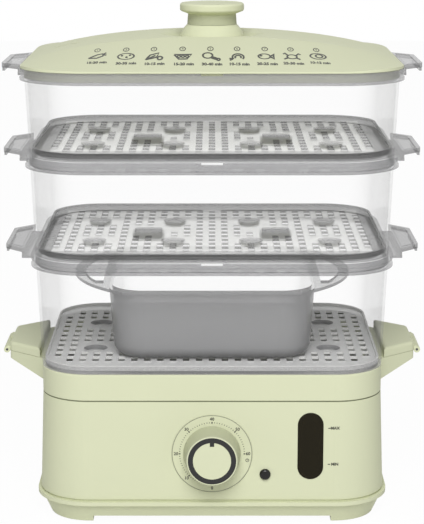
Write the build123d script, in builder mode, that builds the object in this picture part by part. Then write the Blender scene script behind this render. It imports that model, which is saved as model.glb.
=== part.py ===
from build123d import *
import os
from math import atan2, degrees

os.makedirs("parts", exist_ok=True)

# A three-tier food steamer on a table. Millimetres, +Z up, the controls face -Y.
# The origin is the middle of the footprint, on the surface that the feet stand on.

# Clearances
LIFT_GAP = 0.3  # under a piece that lifts off
SIDE_FIT = 0.4  # beside a piece that lifts off
SNUG = 0.1  # between pieces of one assembly
RUNNING = 0.05  # radial, round a pin or a shaft
OVERRUN = 1.0  # of a cutting shape past the face that it cuts

# Plan: the tiers are offsets of one core rectangle, so an outline is named by its corner radius
CORE_X = 188.0
CORE_Y = 136.0

# Base outline
BASE_HALF_Y = 105.4
HOUSING_HALF_X_LOW = 134.5
HOUSING_HALF_X_HIGH = 131.4
HOUSING_R_LOW = 40.5
HOUSING_R_HIGH = 37.4
SHELL = 2.5
REAR_HALF_X = 90.0
EDGE_ROUND = 1.2

# Base heights
FOOT_PAD_SHOW = 1.2
LEG_CUT_Z = 6.0
FLOOR_THICK = 2.5
FLANGE_Z = 16.5
FLANGE_THICK = 3.0
FLANGE_REACH = 2.5
SHADOW_GAP = 1.5
SHADOW_INSET = 1.0
LIP_HEIGHT = 5.0
LIP_WALL = 2.0
SEAM_Z = 99.5
RING_TOP_Z = 120.3
SEAM_CHAMFER = 0.7

# Legs, pads and screws under the base
SKIRT_TUCK = 7.5
SKIRT_TOP_INSET = 0.5
LEG_INNER_X = 92.0
LEG_INNER_Y = 50.0
PAD_X = 105.0
PAD_Y = 78.0
PAD_R = 9.0
PAD_THICK = 3.0
PAD_CHAMFER = 0.5
SCREW_X = 108.0
SCREW_Y = 38.0
SCREW_R = 1.5
SCREW_HEAD_R = 3.6
SCREW_HEAD_THICK = 2.4
SCREW_GRIP = 8.0
POST_R = 5.5

# Water tank
DECK_THICK = 2.5
TANK_R = 30.0
TANK_WALL = 2.2
TANK_FLOOR_Z = 37.0
TANK_FLOOR_THICK = 2.5
BAY_HALF_X = 52.0
BAY_BACK_Y = -46.0

# Water inlets on both sides, with hinged covers
INLET_INNER_X = 130.0
INLET_OUTER_X = 161.6
INLET_INNER_HALF_Y = 53.0
INLET_OUTER_HALF_Y = 26.0
INLET_BOTTOM_INNER_Z = 101.0
INLET_BOTTOM_OUTER_Z = 112.5
INLET_TOP_Z = 118.5
INLET_WALL = 2.0
INLET_CHANNEL_HALF_Y = 20.0
INLET_CORNER_R = 6.0
COVER_TOP_Z = 126.0
COVER_INNER_X = 135.8
COVER_INNER_HALF_Y = 48.0
COVER_ROUND = 2.4
COVER_THICK = 3.0
HINGE_X = 164.6
HINGE_Z = 118.2
KNUCKLE_R = 2.6
HINGE_PIN_R = 1.0
KNUCKLE_HALF_Y = 7.0
HINGE_HALF_Y = 22.0
KNUCKLE_GAP = 0.5

# Heater in the tank floor
HEATER_Y = 25.0
HEATER_FLANGE_R = 43.5
HEATER_HOLE_R = 38.0
HEATER_FLANGE_THICK = 3.0
HEATER_RISE = 5.0
HEATER_TUBE_RING_R = 27.0
HEATER_TUBE_R = 4.0
SEAL_THICK = 1.5
CLAMP_THICK = 1.5
CLAMP_INNER_R = 30.0
CLAMP_OUTER_R = 56.0
CLAMP_SCREW_RING_R = 50.0
CLAMP_BOSS_R = 4.5
THERMOSTAT_R = 9.0
THERMOSTAT_THICK = 8.0
THERMOSTAT_FLANGE = 2.0
THERMOSTAT_FLANGE_THICK = 1.2
TAB_X = 4.0
TAB_THICK = 0.8
TAB_WIDTH = 6.0
TAB_LENGTH = 5.0
FUSE_R = 3.0
FUSE_LENGTH = 22.0
FUSE_X = 19.0

# Drip tray
DRIP_HALF_X = 104.0
DRIP_FRONT_Y = -42.0
DRIP_BACK_Y = 96.0
DRIP_CORNER_R = 20.0
DRIP_DEPTH = 14.0
DRIP_WALL = 1.8
DRIP_DRAFT = 4.0
CHIMNEY_R = 24.0
CHIMNEY_RISE = 5.0
POUR_SLOT_X = 117.0
POUR_SLOT_WIDTH = 18.0
POUR_SLOT_LENGTH = 56.0
POUR_SLOT_ROUND = 5.0

# Timer on the front panel
DIAL_Z = 58.0
DIAL_R = 31.0
DIAL_SINK = 0.8
DIAL_PROUD = 0.3
DIAL_ROUND = 0.24
PANEL_PAD_THICK = 2.0
TIMER_SIZE = 46.0
TIMER_DEPTH = 28.0
TIMER_CORNER_R = 5.0
TIMER_NOSE_R = 5.0
TIMER_SCREW_X = 17.0
TIMER_SCREW_R = 1.4
TIMER_SCREW_HEAD_R = 2.8
TIMER_SCREW_HEAD_THICK = 1.2
TIMER_SCREW_GRIP = 8.0
SHAFT_R = 3.0
SHAFT_IN_TIMER = 12.0
SHAFT_IN_KNOB = 14.0
KNOB_BASE_R = 22.0
KNOB_FACE_R = 19.6
KNOB_DEPTH = 17.9
KNOB_ROUND = 1.2
KNOB_RING_OUTER_R = 18.2
KNOB_RING_INNER_R = 14.5
KNOB_RING_DEPTH = 0.8
POINTER_LENGTH = 3.0
POINTER_HALF_WIDTH = 1.6

# Pilot lamp and water level window
LAMP_X = 40.7
LAMP_Z = 41.5
LAMP_R = 4.3
LAMP_STEM_R = 3.2
LAMP_RISE = 2.6
LAMP_ROUND = 2.2
LAMP_HOLDER_R = 5.2
LAMP_HOLDER_DEPTH = 16.0
LAMP_HOLDER_ROUND = 1.5
WINDOW_X = 75.3
WINDOW_Z = 64.0
WINDOW_WIDTH = 19.6
WINDOW_HEIGHT = 53.0
WINDOW_PROUD = 0.3
WINDOW_ROUND = 0.6
WINDOW_LIP = 1.5
WINDOW_SIGHT_INSET = 3.5
WINDOW_SEAL_WIDTH = 2.6

# Cord gland at the back, with the terminal block inside
GLAND_X = 62.0
GLAND_Z = 29.0
GLAND_BORE_R = 3.6
GLAND_NECK_R = 5.5
GLAND_FLANGE_R = 7.4
GLAND_FLANGE_THICK = 2.0
GLAND_ROUND = 0.8
GLAND_INSIDE = 5.0
GLAND_NUT_THICK = 4.0
GLAND_NOTCH_WIDTH = 20.0
TERMINAL_X = 62.0
TERMINAL_Y = 62.0
TERMINAL_SIZE = (30.0, 18.0, 13.0)
TERMINAL_WAYS = 3
TERMINAL_HOLE_R = 2.2
TERMINAL_LEAD_R = 1.8
TERMINAL_ROUND = 2.0

# Baskets, from the bottom tier up: corner radius low and high, and height of the rim
TIER_NAMES = ("lower", "middle", "upper")
WALL_LOW_R = (37.6, 41.2, 44.2)
WALL_HIGH_R = (41.0, 44.0, 47.0)
RIM_Z = (207.5, 284.0, 350.0)
BASKET_WALL = 2.0
NEST_DEPTH = 7.0
RIM_HEIGHT = 8.6
RIM_THICK = 3.2
RIM_BEAD = 0.9
RIM_BEAD_HEIGHT = 3.2
RIM_NOTCH_WIDTH = 16.0
RIM_NOTCH_DEPTH = 1.5
LEDGE_THICK = 2.2
LEDGE_WIDTH = 6.0
DRAIN_COUNT = 5
DRAIN_FIRST_X = 19.5
DRAIN_PITCH = 16.0
DRAIN_WIDTH = 7.0
DRAIN_HEIGHT = 2.5

# Handles on both sides of each rim
GRIP_INNER_X = 146.5
GRIP_OUTER_X = 162.3
GRIP_INNER_HALF_Y = 51.0
GRIP_NECK_HALF_Y = 49.0
GRIP_WEB_HALF_Y = 47.0
GRIP_OUTER_HALF_Y = 32.0
GRIP_DROP = 0.5
GRIP_PLATE = 1.8
GRIP_SKIRT = 3.6
GRIP_LIP = 6.8
GRIP_WALL = 1.8
GRIP_CORNER_R = 5.0
GRIP_PANEL_INSET = 3.6
GRIP_PANEL_DEPTH = 0.7
GRIP_SHELF_Z = 6.4
GRIP_SHELF_THICK = 2.0
GRIP_SHELF_CORNER_R = 1.0

# Perforated trays
TRAY_THICK = 1.6
TRAY_LIP_HEIGHT = 2.0
TRAY_LIP_WIDTH = 1.6
HOLE_PITCH_X = 10.0
HOLE_PITCH_Y = 15.0
HOLE_WIDTH = 5.0
HOLE_LENGTH = 11.0
HOLE_COLUMNS = 12
HOLE_ROWS = 5
EGG_X = (30.5, 92.0)
EGG_Y = 41.0
EGG_TOP_R = 9.4
EGG_FOOT_R = 6.4
EGG_HOLE_R = 4.5
EGG_DEPTH = 4.5
EGG_WALL = 1.4
WELL_X = 51.0
WELL_WIDTH = 22.0
WELL_DEPTH = 20.0
WELL_DROP = 7.0
WELL_WALL = 1.6
WELL_ROUND = 4.0

# Rice bowl
BOWL_BOTTOM = (152.0, 160.0)
BOWL_BOTTOM_R = 24.0
BOWL_FLARE = 4.0
BOWL_RIM_Z = 180.5
BOWL_WALL = 2.2
BOWL_RIM_REACH = 2.0
BOWL_RIM_THICK = 2.4
BOWL_FOOT_ROUND = 10.0
EAR_R = 110.0
EAR_BAND = 8.0
EAR_HALF_Y = 86.0
EAR_HOLE_X = 97.0
EAR_HOLE_WIDTH = 24.0
EAR_HOLE_LENGTH = 92.0

# Lid
LID_R = 50.0
LID_EDGE_Z = 351.6
LID_CROWN_Z = 370.4
LID_BAND_HALF_Y = 42.0
LID_PULL = 4 / 3
LID_PULL_X = 80.0
LID_WALL = 2.5
LID_SKIRT_WALL = 2.2
LID_HOLLOW_DROP = 1.0
DISH_R = 43.3
DISH_DEPTH = 6.0
DISH_FLOOR_R = 30.0
DISH_LIP = 1.0
DISH_SAG = 1.5
BOSS_FOOT_R = 26.0
BOSS_TOP_R = 19.4
BOSS_TOP_Z = 376.5
BOSS_SAG = 1.2
DISH_THICK = 3.0
VENT_COUNT = 3
VENT_X = 120.0
VENT_PITCH = 6.0
VENT_LENGTH = 10.0
VENT_WIDTH = 2.0
VENT_TILT = 35.0
LID_SCREW_R = 2.0
LID_SCREW_HEAD_R = 4.0
LID_SCREW_HEAD_THICK = 2.5
LID_SCREW_REACH = 9.0

# Lid knob
KNOB_NECK_R = 18.8
KNOB_NECK_LOW_R = 19.4
KNOB_DISC_R = 25.1
KNOB_DISC_Z = 387.2
KNOB_TOP_Z = 393.2
KNOB_DISC_ROUND = 2.0
KNOB_FLARE = 2.4
KNOB_SEAM = 0.2

# Levels and faces worked out from the sizes above
FLANGE_TOP_Z = FLANGE_Z + FLANGE_THICK
HOUSING_LOW_Z = FLANGE_TOP_Z + SHADOW_GAP
FLOOR_TOP_Z = LEG_CUT_Z + FLOOR_THICK
DECK_TOP_Z = SEAM_Z + DECK_THICK
PANEL_Y = -BASE_HALF_Y
PANEL_BACK_Y = PANEL_Y + SHELL
PAD_BACK_Y = PANEL_BACK_Y + PANEL_PAD_THICK
DIAL_SEAT_Y = PANEL_Y + DIAL_SINK
DIAL_FACE_Y = PANEL_Y - DIAL_PROUD
KNOB_BACK_Y = DIAL_FACE_Y - LIFT_GAP
KNOB_FACE_Y = KNOB_BACK_Y - KNOB_DEPTH
TANK_FRONT_Y = -(CORE_Y / 2 + TANK_R + TANK_WALL)
WINDOW_BACK_Y = TANK_FRONT_Y - SEAL_THICK
RING_INNER_R = HOUSING_R_HIGH - SHELL
SEAL_Z = TANK_FLOOR_Z - SEAL_THICK
HEATER_Z = SEAL_Z - HEATER_FLANGE_THICK
CLAMP_Z = HEATER_Z - CLAMP_THICK
POST_TOP_Z = CLAMP_Z - SIDE_FIT
LID_SEAT_Z = RIM_Z[2] + LIFT_GAP
LID_SKIRT_R = WALL_HIGH_R[2] + SNUG
SEAT_Z = (RING_TOP_Z, RIM_Z[0], RIM_Z[1])
SKIRT_R = (RING_INNER_R - SIDE_FIT, WALL_LOW_R[1], WALL_LOW_R[2])
RIM_INNER_R = (SKIRT_R[1] + SIDE_FIT, SKIRT_R[2] + SIDE_FIT, LID_SKIRT_R + SIDE_FIT)
LEDGE_Z = tuple(z + LIFT_GAP for z in SEAT_Z)
TRAY_Z = tuple(z + LEDGE_THICK + LIFT_GAP for z in LEDGE_Z)
TRAY_R = tuple(r - BASKET_WALL - SIDE_FIT for r in WALL_LOW_R)
BOWL_Z = TRAY_Z[0] + TRAY_THICK + LIFT_GAP


# Shapes that several pieces share
def core_outline(radius):
    return RectangleRounded(CORE_X + 2 * radius, CORE_Y + 2 * radius, radius)


def prism(radius, low, high, mode=Mode.ADD):
    with BuildSketch(Plane.XY.offset(low)) as outline:
        core_outline(radius)
    extrude(outline.sketch, amount=high - low, mode=mode)


def draft(low_inset, high_inset, height):
    """Draft angle of a wall that is pulled in by two insets over a height."""
    return degrees(atan2(high_inset - low_inset, height))


def tapered_prism(low_radius, low, high_radius, high, mode=Mode.ADD):
    with BuildSketch(Plane.XY.offset(low)) as outline:
        core_outline(low_radius)
    angle = draft(-low_radius, -high_radius, high - low)
    extrude(outline.sketch, amount=high - low, taper=angle, mode=mode)


def plinth(low, high, low_inset, high_inset, mode=Mode.ADD):
    """Block with the outline of the housing's lower edge, pulled in by an inset at each level."""
    with BuildSketch(Plane.XY.offset(low)) as outline:
        RectangleRounded(
            2 * (HOUSING_HALF_X_LOW - low_inset),
            2 * (BASE_HALF_Y - low_inset),
            HOUSING_R_LOW - low_inset,
        )
    angle = draft(low_inset, high_inset, high - low)
    extrude(outline.sketch, amount=high - low, taper=angle, mode=mode)


def housing_block(inset, mode=Mode.ADD):
    """Housing body with upright front and back, and sides that lean in towards the top."""
    with BuildSketch(Plane.XY.offset(HOUSING_LOW_Z)) as bottom:
        RectangleRounded(2 * (HOUSING_HALF_X_LOW - inset), 2 * (BASE_HALF_Y - inset), HOUSING_R_LOW - inset)
    with BuildSketch(Plane.XY.offset(SEAM_Z)) as top:
        RectangleRounded(2 * (HOUSING_HALF_X_HIGH - inset), 2 * (BASE_HALF_Y - inset), HOUSING_R_HIGH - inset)
    loft([bottom.sketch, top.sketch], ruled=True, mode=mode)


def front_plane(y):
    """Upright plane that faces the user: x to the right, z up, pulled towards the back by extrude."""
    return Plane(origin=(0, y, 0), x_dir=(1, 0, 0), z_dir=(0, -1, 0))


def front_cylinder(x, z, radius, front, back, mode=Mode.ADD):
    with BuildSketch(front_plane(back)) as outline:
        with Locations((x, z)):
            Circle(radius)
    extrude(outline.sketch, amount=back - front, mode=mode)


def front_pill(x, z, width, height, front, back, mode=Mode.ADD):
    with BuildSketch(front_plane(back)) as outline:
        with Locations((x, z)):
            SlotOverall(height, width, rotation=90)
    extrude(outline.sketch, amount=back - front, mode=mode)


def disc(x, y, radius, low, high, mode=Mode.ADD):
    with BuildSketch(Plane.XY.offset(low)) as outline:
        with Locations((x, y)):
            Circle(radius)
    extrude(outline.sketch, amount=high - low, mode=mode)


def wing(side, inner_x, outer_x, inner_half, outer_half, corner):
    """Trapezoid on one side of the object, narrower towards its rounded outer end."""
    with BuildLine() as outline:
        Polyline(
            (side * inner_x, -inner_half),
            (side * outer_x, -outer_half),
            (side * outer_x, outer_half),
            (side * inner_x, inner_half),
            close=True,
        )
    make_face(outline.edges())
    ends = vertices().filter_by(lambda v: abs(abs(v.X) - outer_x) < 0.01)
    fillet(ends, radius=corner)


def finish(piece, name):
    piece.part.label = name
    export_step(piece.part, f"parts/{name}.step")


# Base plate: floor, legs, flange and the lip that the housing drops over
with BuildPart() as base_plate:
    plinth(FOOT_PAD_SHOW, FLANGE_Z, SKIRT_TUCK, SKIRT_TOP_INSET)
    plinth(FLANGE_Z, FLANGE_TOP_Z, -FLANGE_REACH, -FLANGE_REACH)
    plinth(FLANGE_TOP_Z, HOUSING_LOW_Z, SHADOW_INSET, SHADOW_INSET)
    plinth(HOUSING_LOW_Z, HOUSING_LOW_Z + LIP_HEIGHT, SHELL + SIDE_FIT, SHELL + SIDE_FIT)
    cavity_inset = SHELL + SIDE_FIT + LIP_WALL
    plinth(FLOOR_TOP_Z, FLANGE_Z, SKIRT_TUCK + SHELL, cavity_inset, mode=Mode.SUBTRACT)
    plinth(FLANGE_Z, HOUSING_LOW_Z + LIP_HEIGHT, cavity_inset, cavity_inset, mode=Mode.SUBTRACT)
    with BuildSketch(Plane.XY.offset(HOUSING_LOW_Z)):
        with Locations((GLAND_X, BASE_HALF_Y)):
            Rectangle(GLAND_NOTCH_WIDTH, 2 * (SHELL + GLAND_INSIDE + SIDE_FIT))
    extrude(amount=LIP_HEIGHT, mode=Mode.SUBTRACT)
    with BuildSketch(Plane.XY):
        Rectangle(2 * LEG_INNER_X, 4 * BASE_HALF_Y)
        Rectangle(4 * HOUSING_HALF_X_LOW, 2 * LEG_INNER_Y)
    extrude(amount=LEG_CUT_Z, mode=Mode.SUBTRACT)
    with BuildSketch(Plane.XY.offset(FLOOR_TOP_Z - SNUG)):
        with GridLocations(2 * SCREW_X, 2 * SCREW_Y, 2, 2):
            Circle(POST_R)
    extrude(amount=POST_TOP_Z - FLOOR_TOP_Z + SNUG)
    with BuildSketch(Plane.XY.offset(LEG_CUT_Z)):
        with GridLocations(2 * SCREW_X, 2 * SCREW_Y, 2, 2):
            Circle(SCREW_HEAD_R + SIDE_FIT)
    extrude(amount=SCREW_GRIP, mode=Mode.SUBTRACT)
    with BuildSketch(Plane.XY.offset(LEG_CUT_Z)):
        with GridLocations(2 * SCREW_X, 2 * SCREW_Y, 2, 2):
            Circle(SCREW_R + SNUG)
    extrude(amount=POST_TOP_Z, mode=Mode.SUBTRACT)
    with BuildSketch(Plane.XY.offset(FOOT_PAD_SHOW)):
        with GridLocations(2 * PAD_X, 2 * PAD_Y, 2, 2):
            Circle(PAD_R + SNUG)
    extrude(amount=PAD_THICK - FOOT_PAD_SHOW, mode=Mode.SUBTRACT)
finish(base_plate, "base_plate")

with BuildPart() as foot_pads:
    with BuildSketch(Plane.XY):
        with GridLocations(2 * PAD_X, 2 * PAD_Y, 2, 2):
            Circle(PAD_R)
    extrude(amount=PAD_THICK)
    chamfer(foot_pads.edges().group_by(Axis.Z)[0], length=PAD_CHAMFER)
finish(foot_pads, "foot_pads")

with BuildPart() as base_screws:
    head_z = LEG_CUT_Z + SCREW_GRIP - SCREW_HEAD_THICK
    with BuildSketch(Plane.XY.offset(head_z)):
        with GridLocations(2 * SCREW_X, 2 * SCREW_Y, 2, 2):
            Circle(SCREW_HEAD_R)
    extrude(amount=SCREW_HEAD_THICK)
    with BuildSketch(Plane.XY.offset(head_z + SCREW_HEAD_THICK)):
        with GridLocations(2 * SCREW_X, 2 * SCREW_Y, 2, 2):
            Circle(SCREW_R)
    extrude(amount=TANK_FLOOR_Z - SIDE_FIT - head_z - SCREW_HEAD_THICK)
finish(base_screws, "base_screws")

# Housing: the outer shell with the control panel
with BuildPart() as base_housing:
    housing_block(0)
    chamfer(base_housing.faces().sort_by(Axis.Z)[-1].edges(), length=SEAM_CHAMFER)
    housing_block(SHELL, mode=Mode.SUBTRACT)
    front_cylinder(0, DIAL_Z, DIAL_R, PANEL_BACK_Y - SNUG, PAD_BACK_Y)
    front_cylinder(0, DIAL_Z, DIAL_R + SNUG, PANEL_Y - SNUG, DIAL_SEAT_Y, mode=Mode.SUBTRACT)
    front_cylinder(0, DIAL_Z, TIMER_NOSE_R + SIDE_FIT, PANEL_Y, PAD_BACK_Y, mode=Mode.SUBTRACT)
    for screw_x in (-TIMER_SCREW_X, TIMER_SCREW_X):
        head_back = DIAL_SEAT_Y + SNUG + TIMER_SCREW_HEAD_THICK
        front_cylinder(screw_x, DIAL_Z, TIMER_SCREW_HEAD_R + SNUG, PANEL_Y, head_back, mode=Mode.SUBTRACT)
        front_cylinder(screw_x, DIAL_Z, TIMER_SCREW_R + SNUG, PANEL_Y, PAD_BACK_Y, mode=Mode.SUBTRACT)
    lamp_hole_r = LAMP_STEM_R + SNUG
    front_cylinder(LAMP_X, LAMP_Z, lamp_hole_r, PANEL_Y - SNUG, PANEL_BACK_Y + SNUG, mode=Mode.SUBTRACT)
    front_pill(
        WINDOW_X,
        WINDOW_Z,
        WINDOW_WIDTH + 2 * SNUG,
        WINDOW_HEIGHT + 2 * SNUG,
        PANEL_Y - SNUG,
        PANEL_BACK_Y + SNUG,
        mode=Mode.SUBTRACT,
    )
    with BuildSketch(Plane.XY.offset(HOUSING_LOW_Z)):
        with Locations((0, BASE_HALF_Y)):
            Rectangle(2 * REAR_HALF_X, 2 * (SHELL + SNUG))
    extrude(amount=SEAM_Z - HOUSING_LOW_Z, mode=Mode.SUBTRACT)
finish(base_housing, "base_housing")

# Rear panel: a flat plate that closes the housing at the back and carries the cord gland
with BuildPart() as rear_panel:
    with BuildSketch(Plane.XY.offset(HOUSING_LOW_Z)):
        with Locations((0, BASE_HALF_Y - SHELL / 2)):
            Rectangle(2 * (REAR_HALF_X - SNUG), SHELL)
    extrude(amount=SEAM_Z - HOUSING_LOW_Z)
    rear_top_edges = rear_panel.edges().filter_by(Axis.X).group_by(Axis.Z)[-1]
    chamfer(rear_top_edges.sort_by(Axis.Y)[-1], length=SEAM_CHAMFER)
    gland_hole_r = GLAND_NECK_R + SNUG
    gland_hole_y = BASE_HALF_Y - SHELL - SNUG
    front_cylinder(GLAND_X, GLAND_Z, gland_hole_r, gland_hole_y, BASE_HALF_Y + SNUG, mode=Mode.SUBTRACT)
finish(rear_panel, "rear_panel")

# Upper band: closes the housing, carries the baskets and has a water inlet on each side
with BuildPart() as upper_band:
    prism(HOUSING_R_HIGH, SEAM_Z, RING_TOP_Z)
    chamfer(upper_band.faces().sort_by(Axis.Z)[0].edges(), length=SEAM_CHAMFER)
    fillet(upper_band.faces().sort_by(Axis.Z)[-1].outer_wire().edges(), radius=EDGE_ROUND)
    for side in (-1, 1):
        with BuildSketch(Plane.XY.offset(SEAM_Z + SEAM_CHAMFER)):
            wing(side, INLET_INNER_X, INLET_OUTER_X, INLET_INNER_HALF_Y, INLET_OUTER_HALF_Y, INLET_CORNER_R)
        extrude(amount=INLET_TOP_Z - SEAM_Z - SEAM_CHAMFER)
        with BuildSketch(Plane.XZ.offset(-2 * BASE_HALF_Y)):
            with BuildLine():
                Polyline(
                    (side * (CORE_X / 2 + HOUSING_R_HIGH), INLET_BOTTOM_INNER_Z),
                    (side * INLET_OUTER_X, INLET_BOTTOM_OUTER_Z),
                    (side * 2 * INLET_OUTER_X, INLET_BOTTOM_OUTER_Z),
                    (side * 2 * INLET_OUTER_X, 0),
                    (side * (CORE_X / 2 + HOUSING_R_HIGH), 0),
                    close=True,
                )
            make_face()
        extrude(amount=4 * BASE_HALF_Y, mode=Mode.SUBTRACT)
    prism(RING_INNER_R, SEAM_Z, RING_TOP_Z, mode=Mode.SUBTRACT)
    for side in (-1, 1):
        channel_low = DECK_TOP_Z + INLET_WALL
        with BuildSketch(Plane.XZ.offset(-INLET_CHANNEL_HALF_Y)):
            with BuildLine():
                Polyline(
                    (side * (CORE_X / 2 + RING_INNER_R - SHELL), channel_low),
                    (side * (INLET_OUTER_X - INLET_WALL), INLET_BOTTOM_OUTER_Z + INLET_WALL),
                    (side * (INLET_OUTER_X - INLET_WALL), INLET_TOP_Z + SNUG),
                    (side * COVER_INNER_X, INLET_TOP_Z + SNUG),
                    (side * (COVER_INNER_X - INLET_WALL), INLET_TOP_Z - INLET_WALL),
                    (side * (CORE_X / 2 + RING_INNER_R - SHELL), INLET_TOP_Z - INLET_WALL),
                    close=True,
                )
            make_face()
        extrude(amount=2 * INLET_CHANNEL_HALF_Y, mode=Mode.SUBTRACT)
        with BuildSketch(Plane.XZ.offset(-KNUCKLE_HALF_Y)):
            with Locations((side * HINGE_X, HINGE_Z)):
                Circle(KNUCKLE_R)
            with Locations((side * (HINGE_X + INLET_OUTER_X) / 2, HINGE_Z - KNUCKLE_R / 2)):
                Rectangle(HINGE_X - INLET_OUTER_X + 2 * SNUG, KNUCKLE_R)
        extrude(amount=2 * KNUCKLE_HALF_Y)
        with BuildSketch(Plane.XZ.offset(-KNUCKLE_HALF_Y - SNUG)):
            with Locations((side * HINGE_X, HINGE_Z)):
                Circle(HINGE_PIN_R + RUNNING)
        extrude(amount=2 * KNUCKLE_HALF_Y + 2 * SNUG, mode=Mode.SUBTRACT)
finish(upper_band, "upper_band")

# Water tank: a tub that hangs in the housing, with a deck round its mouth
with BuildPart() as water_tank:
    prism(RING_INNER_R - SNUG, SEAM_Z, DECK_TOP_Z)
    with BuildSketch(Plane.XY.offset(TANK_FLOOR_Z)):
        core_outline(TANK_R + TANK_WALL)
        with Locations((0, BAY_BACK_Y - BASE_HALF_Y)):
            Rectangle(2 * BAY_HALF_X, 2 * BASE_HALF_Y, mode=Mode.SUBTRACT)
    extrude(amount=DECK_TOP_Z - TANK_FLOOR_Z)
    with BuildSketch(Plane.XY.offset(TANK_FLOOR_Z + TANK_FLOOR_THICK)):
        core_outline(TANK_R)
        with Locations((0, BAY_BACK_Y + TANK_WALL - BASE_HALF_Y)):
            Rectangle(2 * (BAY_HALF_X + TANK_WALL), 2 * BASE_HALF_Y, mode=Mode.SUBTRACT)
    extrude(amount=RING_TOP_Z, mode=Mode.SUBTRACT)
    disc(0, HEATER_Y, HEATER_HOLE_R, TANK_FLOOR_Z, TANK_FLOOR_Z + TANK_FLOOR_THICK, mode=Mode.SUBTRACT)
    with BuildSketch(Plane.XY.offset(POST_TOP_Z)):
        with GridLocations(2 * SCREW_X, 2 * SCREW_Y, 2, 2):
            Circle(POST_R)
            Circle(SCREW_R + SNUG, mode=Mode.SUBTRACT)
    extrude(amount=TANK_FLOOR_Z - POST_TOP_Z)
    with BuildSketch(Plane.XY.offset(HEATER_Z)):
        with Locations((0, HEATER_Y)):
            with PolarLocations(CLAMP_SCREW_RING_R, 4, start_angle=45):
                Circle(CLAMP_BOSS_R)
                Circle(SCREW_R + SNUG, mode=Mode.SUBTRACT)
    extrude(amount=TANK_FLOOR_Z - HEATER_Z)
    front_pill(
        WINDOW_X,
        WINDOW_Z,
        WINDOW_WIDTH - 2 * WINDOW_SIGHT_INSET,
        WINDOW_HEIGHT - 2 * WINDOW_SIGHT_INSET,
        TANK_FRONT_Y - SNUG,
        TANK_FRONT_Y + TANK_WALL + SNUG,
        mode=Mode.SUBTRACT,
    )
finish(water_tank, "water_tank")

# Heater under the tank floor
with BuildPart() as heating_element:
    disc(0, HEATER_Y, HEATER_FLANGE_R, HEATER_Z, SEAL_Z)
    disc(0, HEATER_Y, HEATER_HOLE_R - SIDE_FIT, SEAL_Z, SEAL_Z + HEATER_RISE)
    with BuildSketch(Plane.XZ.offset(-HEATER_Y)):
        with Locations((HEATER_TUBE_RING_R, SEAL_Z + HEATER_RISE)):
            Circle(HEATER_TUBE_R)
    revolve(axis=Axis((0, HEATER_Y, 0), (0, 0, 1)))
finish(heating_element, "heating_element")

with BuildPart() as heater_seal:
    disc(0, HEATER_Y, HEATER_FLANGE_R, SEAL_Z, TANK_FLOOR_Z)
    disc(0, HEATER_Y, HEATER_HOLE_R, SEAL_Z, TANK_FLOOR_Z, mode=Mode.SUBTRACT)
finish(heater_seal, "heater_seal")

with BuildPart() as heater_clamp:
    disc(0, HEATER_Y, CLAMP_OUTER_R, CLAMP_Z, HEATER_Z)
    disc(0, HEATER_Y, CLAMP_INNER_R, CLAMP_Z, HEATER_Z, mode=Mode.SUBTRACT)
    with BuildSketch(Plane.XY.offset(CLAMP_Z)):
        with Locations((0, HEATER_Y)):
            with PolarLocations(CLAMP_SCREW_RING_R, 4, start_angle=45):
                Circle(SCREW_R + SNUG)
    extrude(amount=CLAMP_THICK, mode=Mode.SUBTRACT)
finish(heater_clamp, "heater_clamp")

with BuildPart() as heater_screws:
    with BuildSketch(Plane.XY.offset(CLAMP_Z - SCREW_HEAD_THICK)):
        with Locations((0, HEATER_Y)):
            with PolarLocations(CLAMP_SCREW_RING_R, 4, start_angle=45):
                Circle(SCREW_HEAD_R)
    extrude(amount=SCREW_HEAD_THICK)
    with BuildSketch(Plane.XY.offset(CLAMP_Z)):
        with Locations((0, HEATER_Y)):
            with PolarLocations(CLAMP_SCREW_RING_R, 4, start_angle=45):
                Circle(SCREW_R)
    extrude(amount=TANK_FLOOR_Z - SIDE_FIT - CLAMP_Z)
finish(heater_screws, "heater_screws")

with BuildPart() as thermostat:
    disc(0, HEATER_Y, THERMOSTAT_R, HEATER_Z - THERMOSTAT_THICK, HEATER_Z)
    disc(0, HEATER_Y, THERMOSTAT_R + THERMOSTAT_FLANGE, HEATER_Z - THERMOSTAT_FLANGE_THICK, HEATER_Z)
    for side in (-1, 1):
        with BuildSketch(Plane.XY.offset(HEATER_Z - THERMOSTAT_THICK - TAB_LENGTH)):
            with Locations((side * TAB_X, HEATER_Y)):
                Rectangle(TAB_THICK, TAB_WIDTH)
        extrude(amount=TAB_LENGTH)
finish(thermostat, "thermostat")

with BuildPart() as thermal_fuse:
    with BuildSketch(Plane.XZ.offset(-HEATER_Y - FUSE_LENGTH / 2)):
        with Locations((FUSE_X, HEATER_Z - FUSE_R)):
            Circle(FUSE_R)
    extrude(amount=FUSE_LENGTH)
finish(thermal_fuse, "thermal_fuse")

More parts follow.
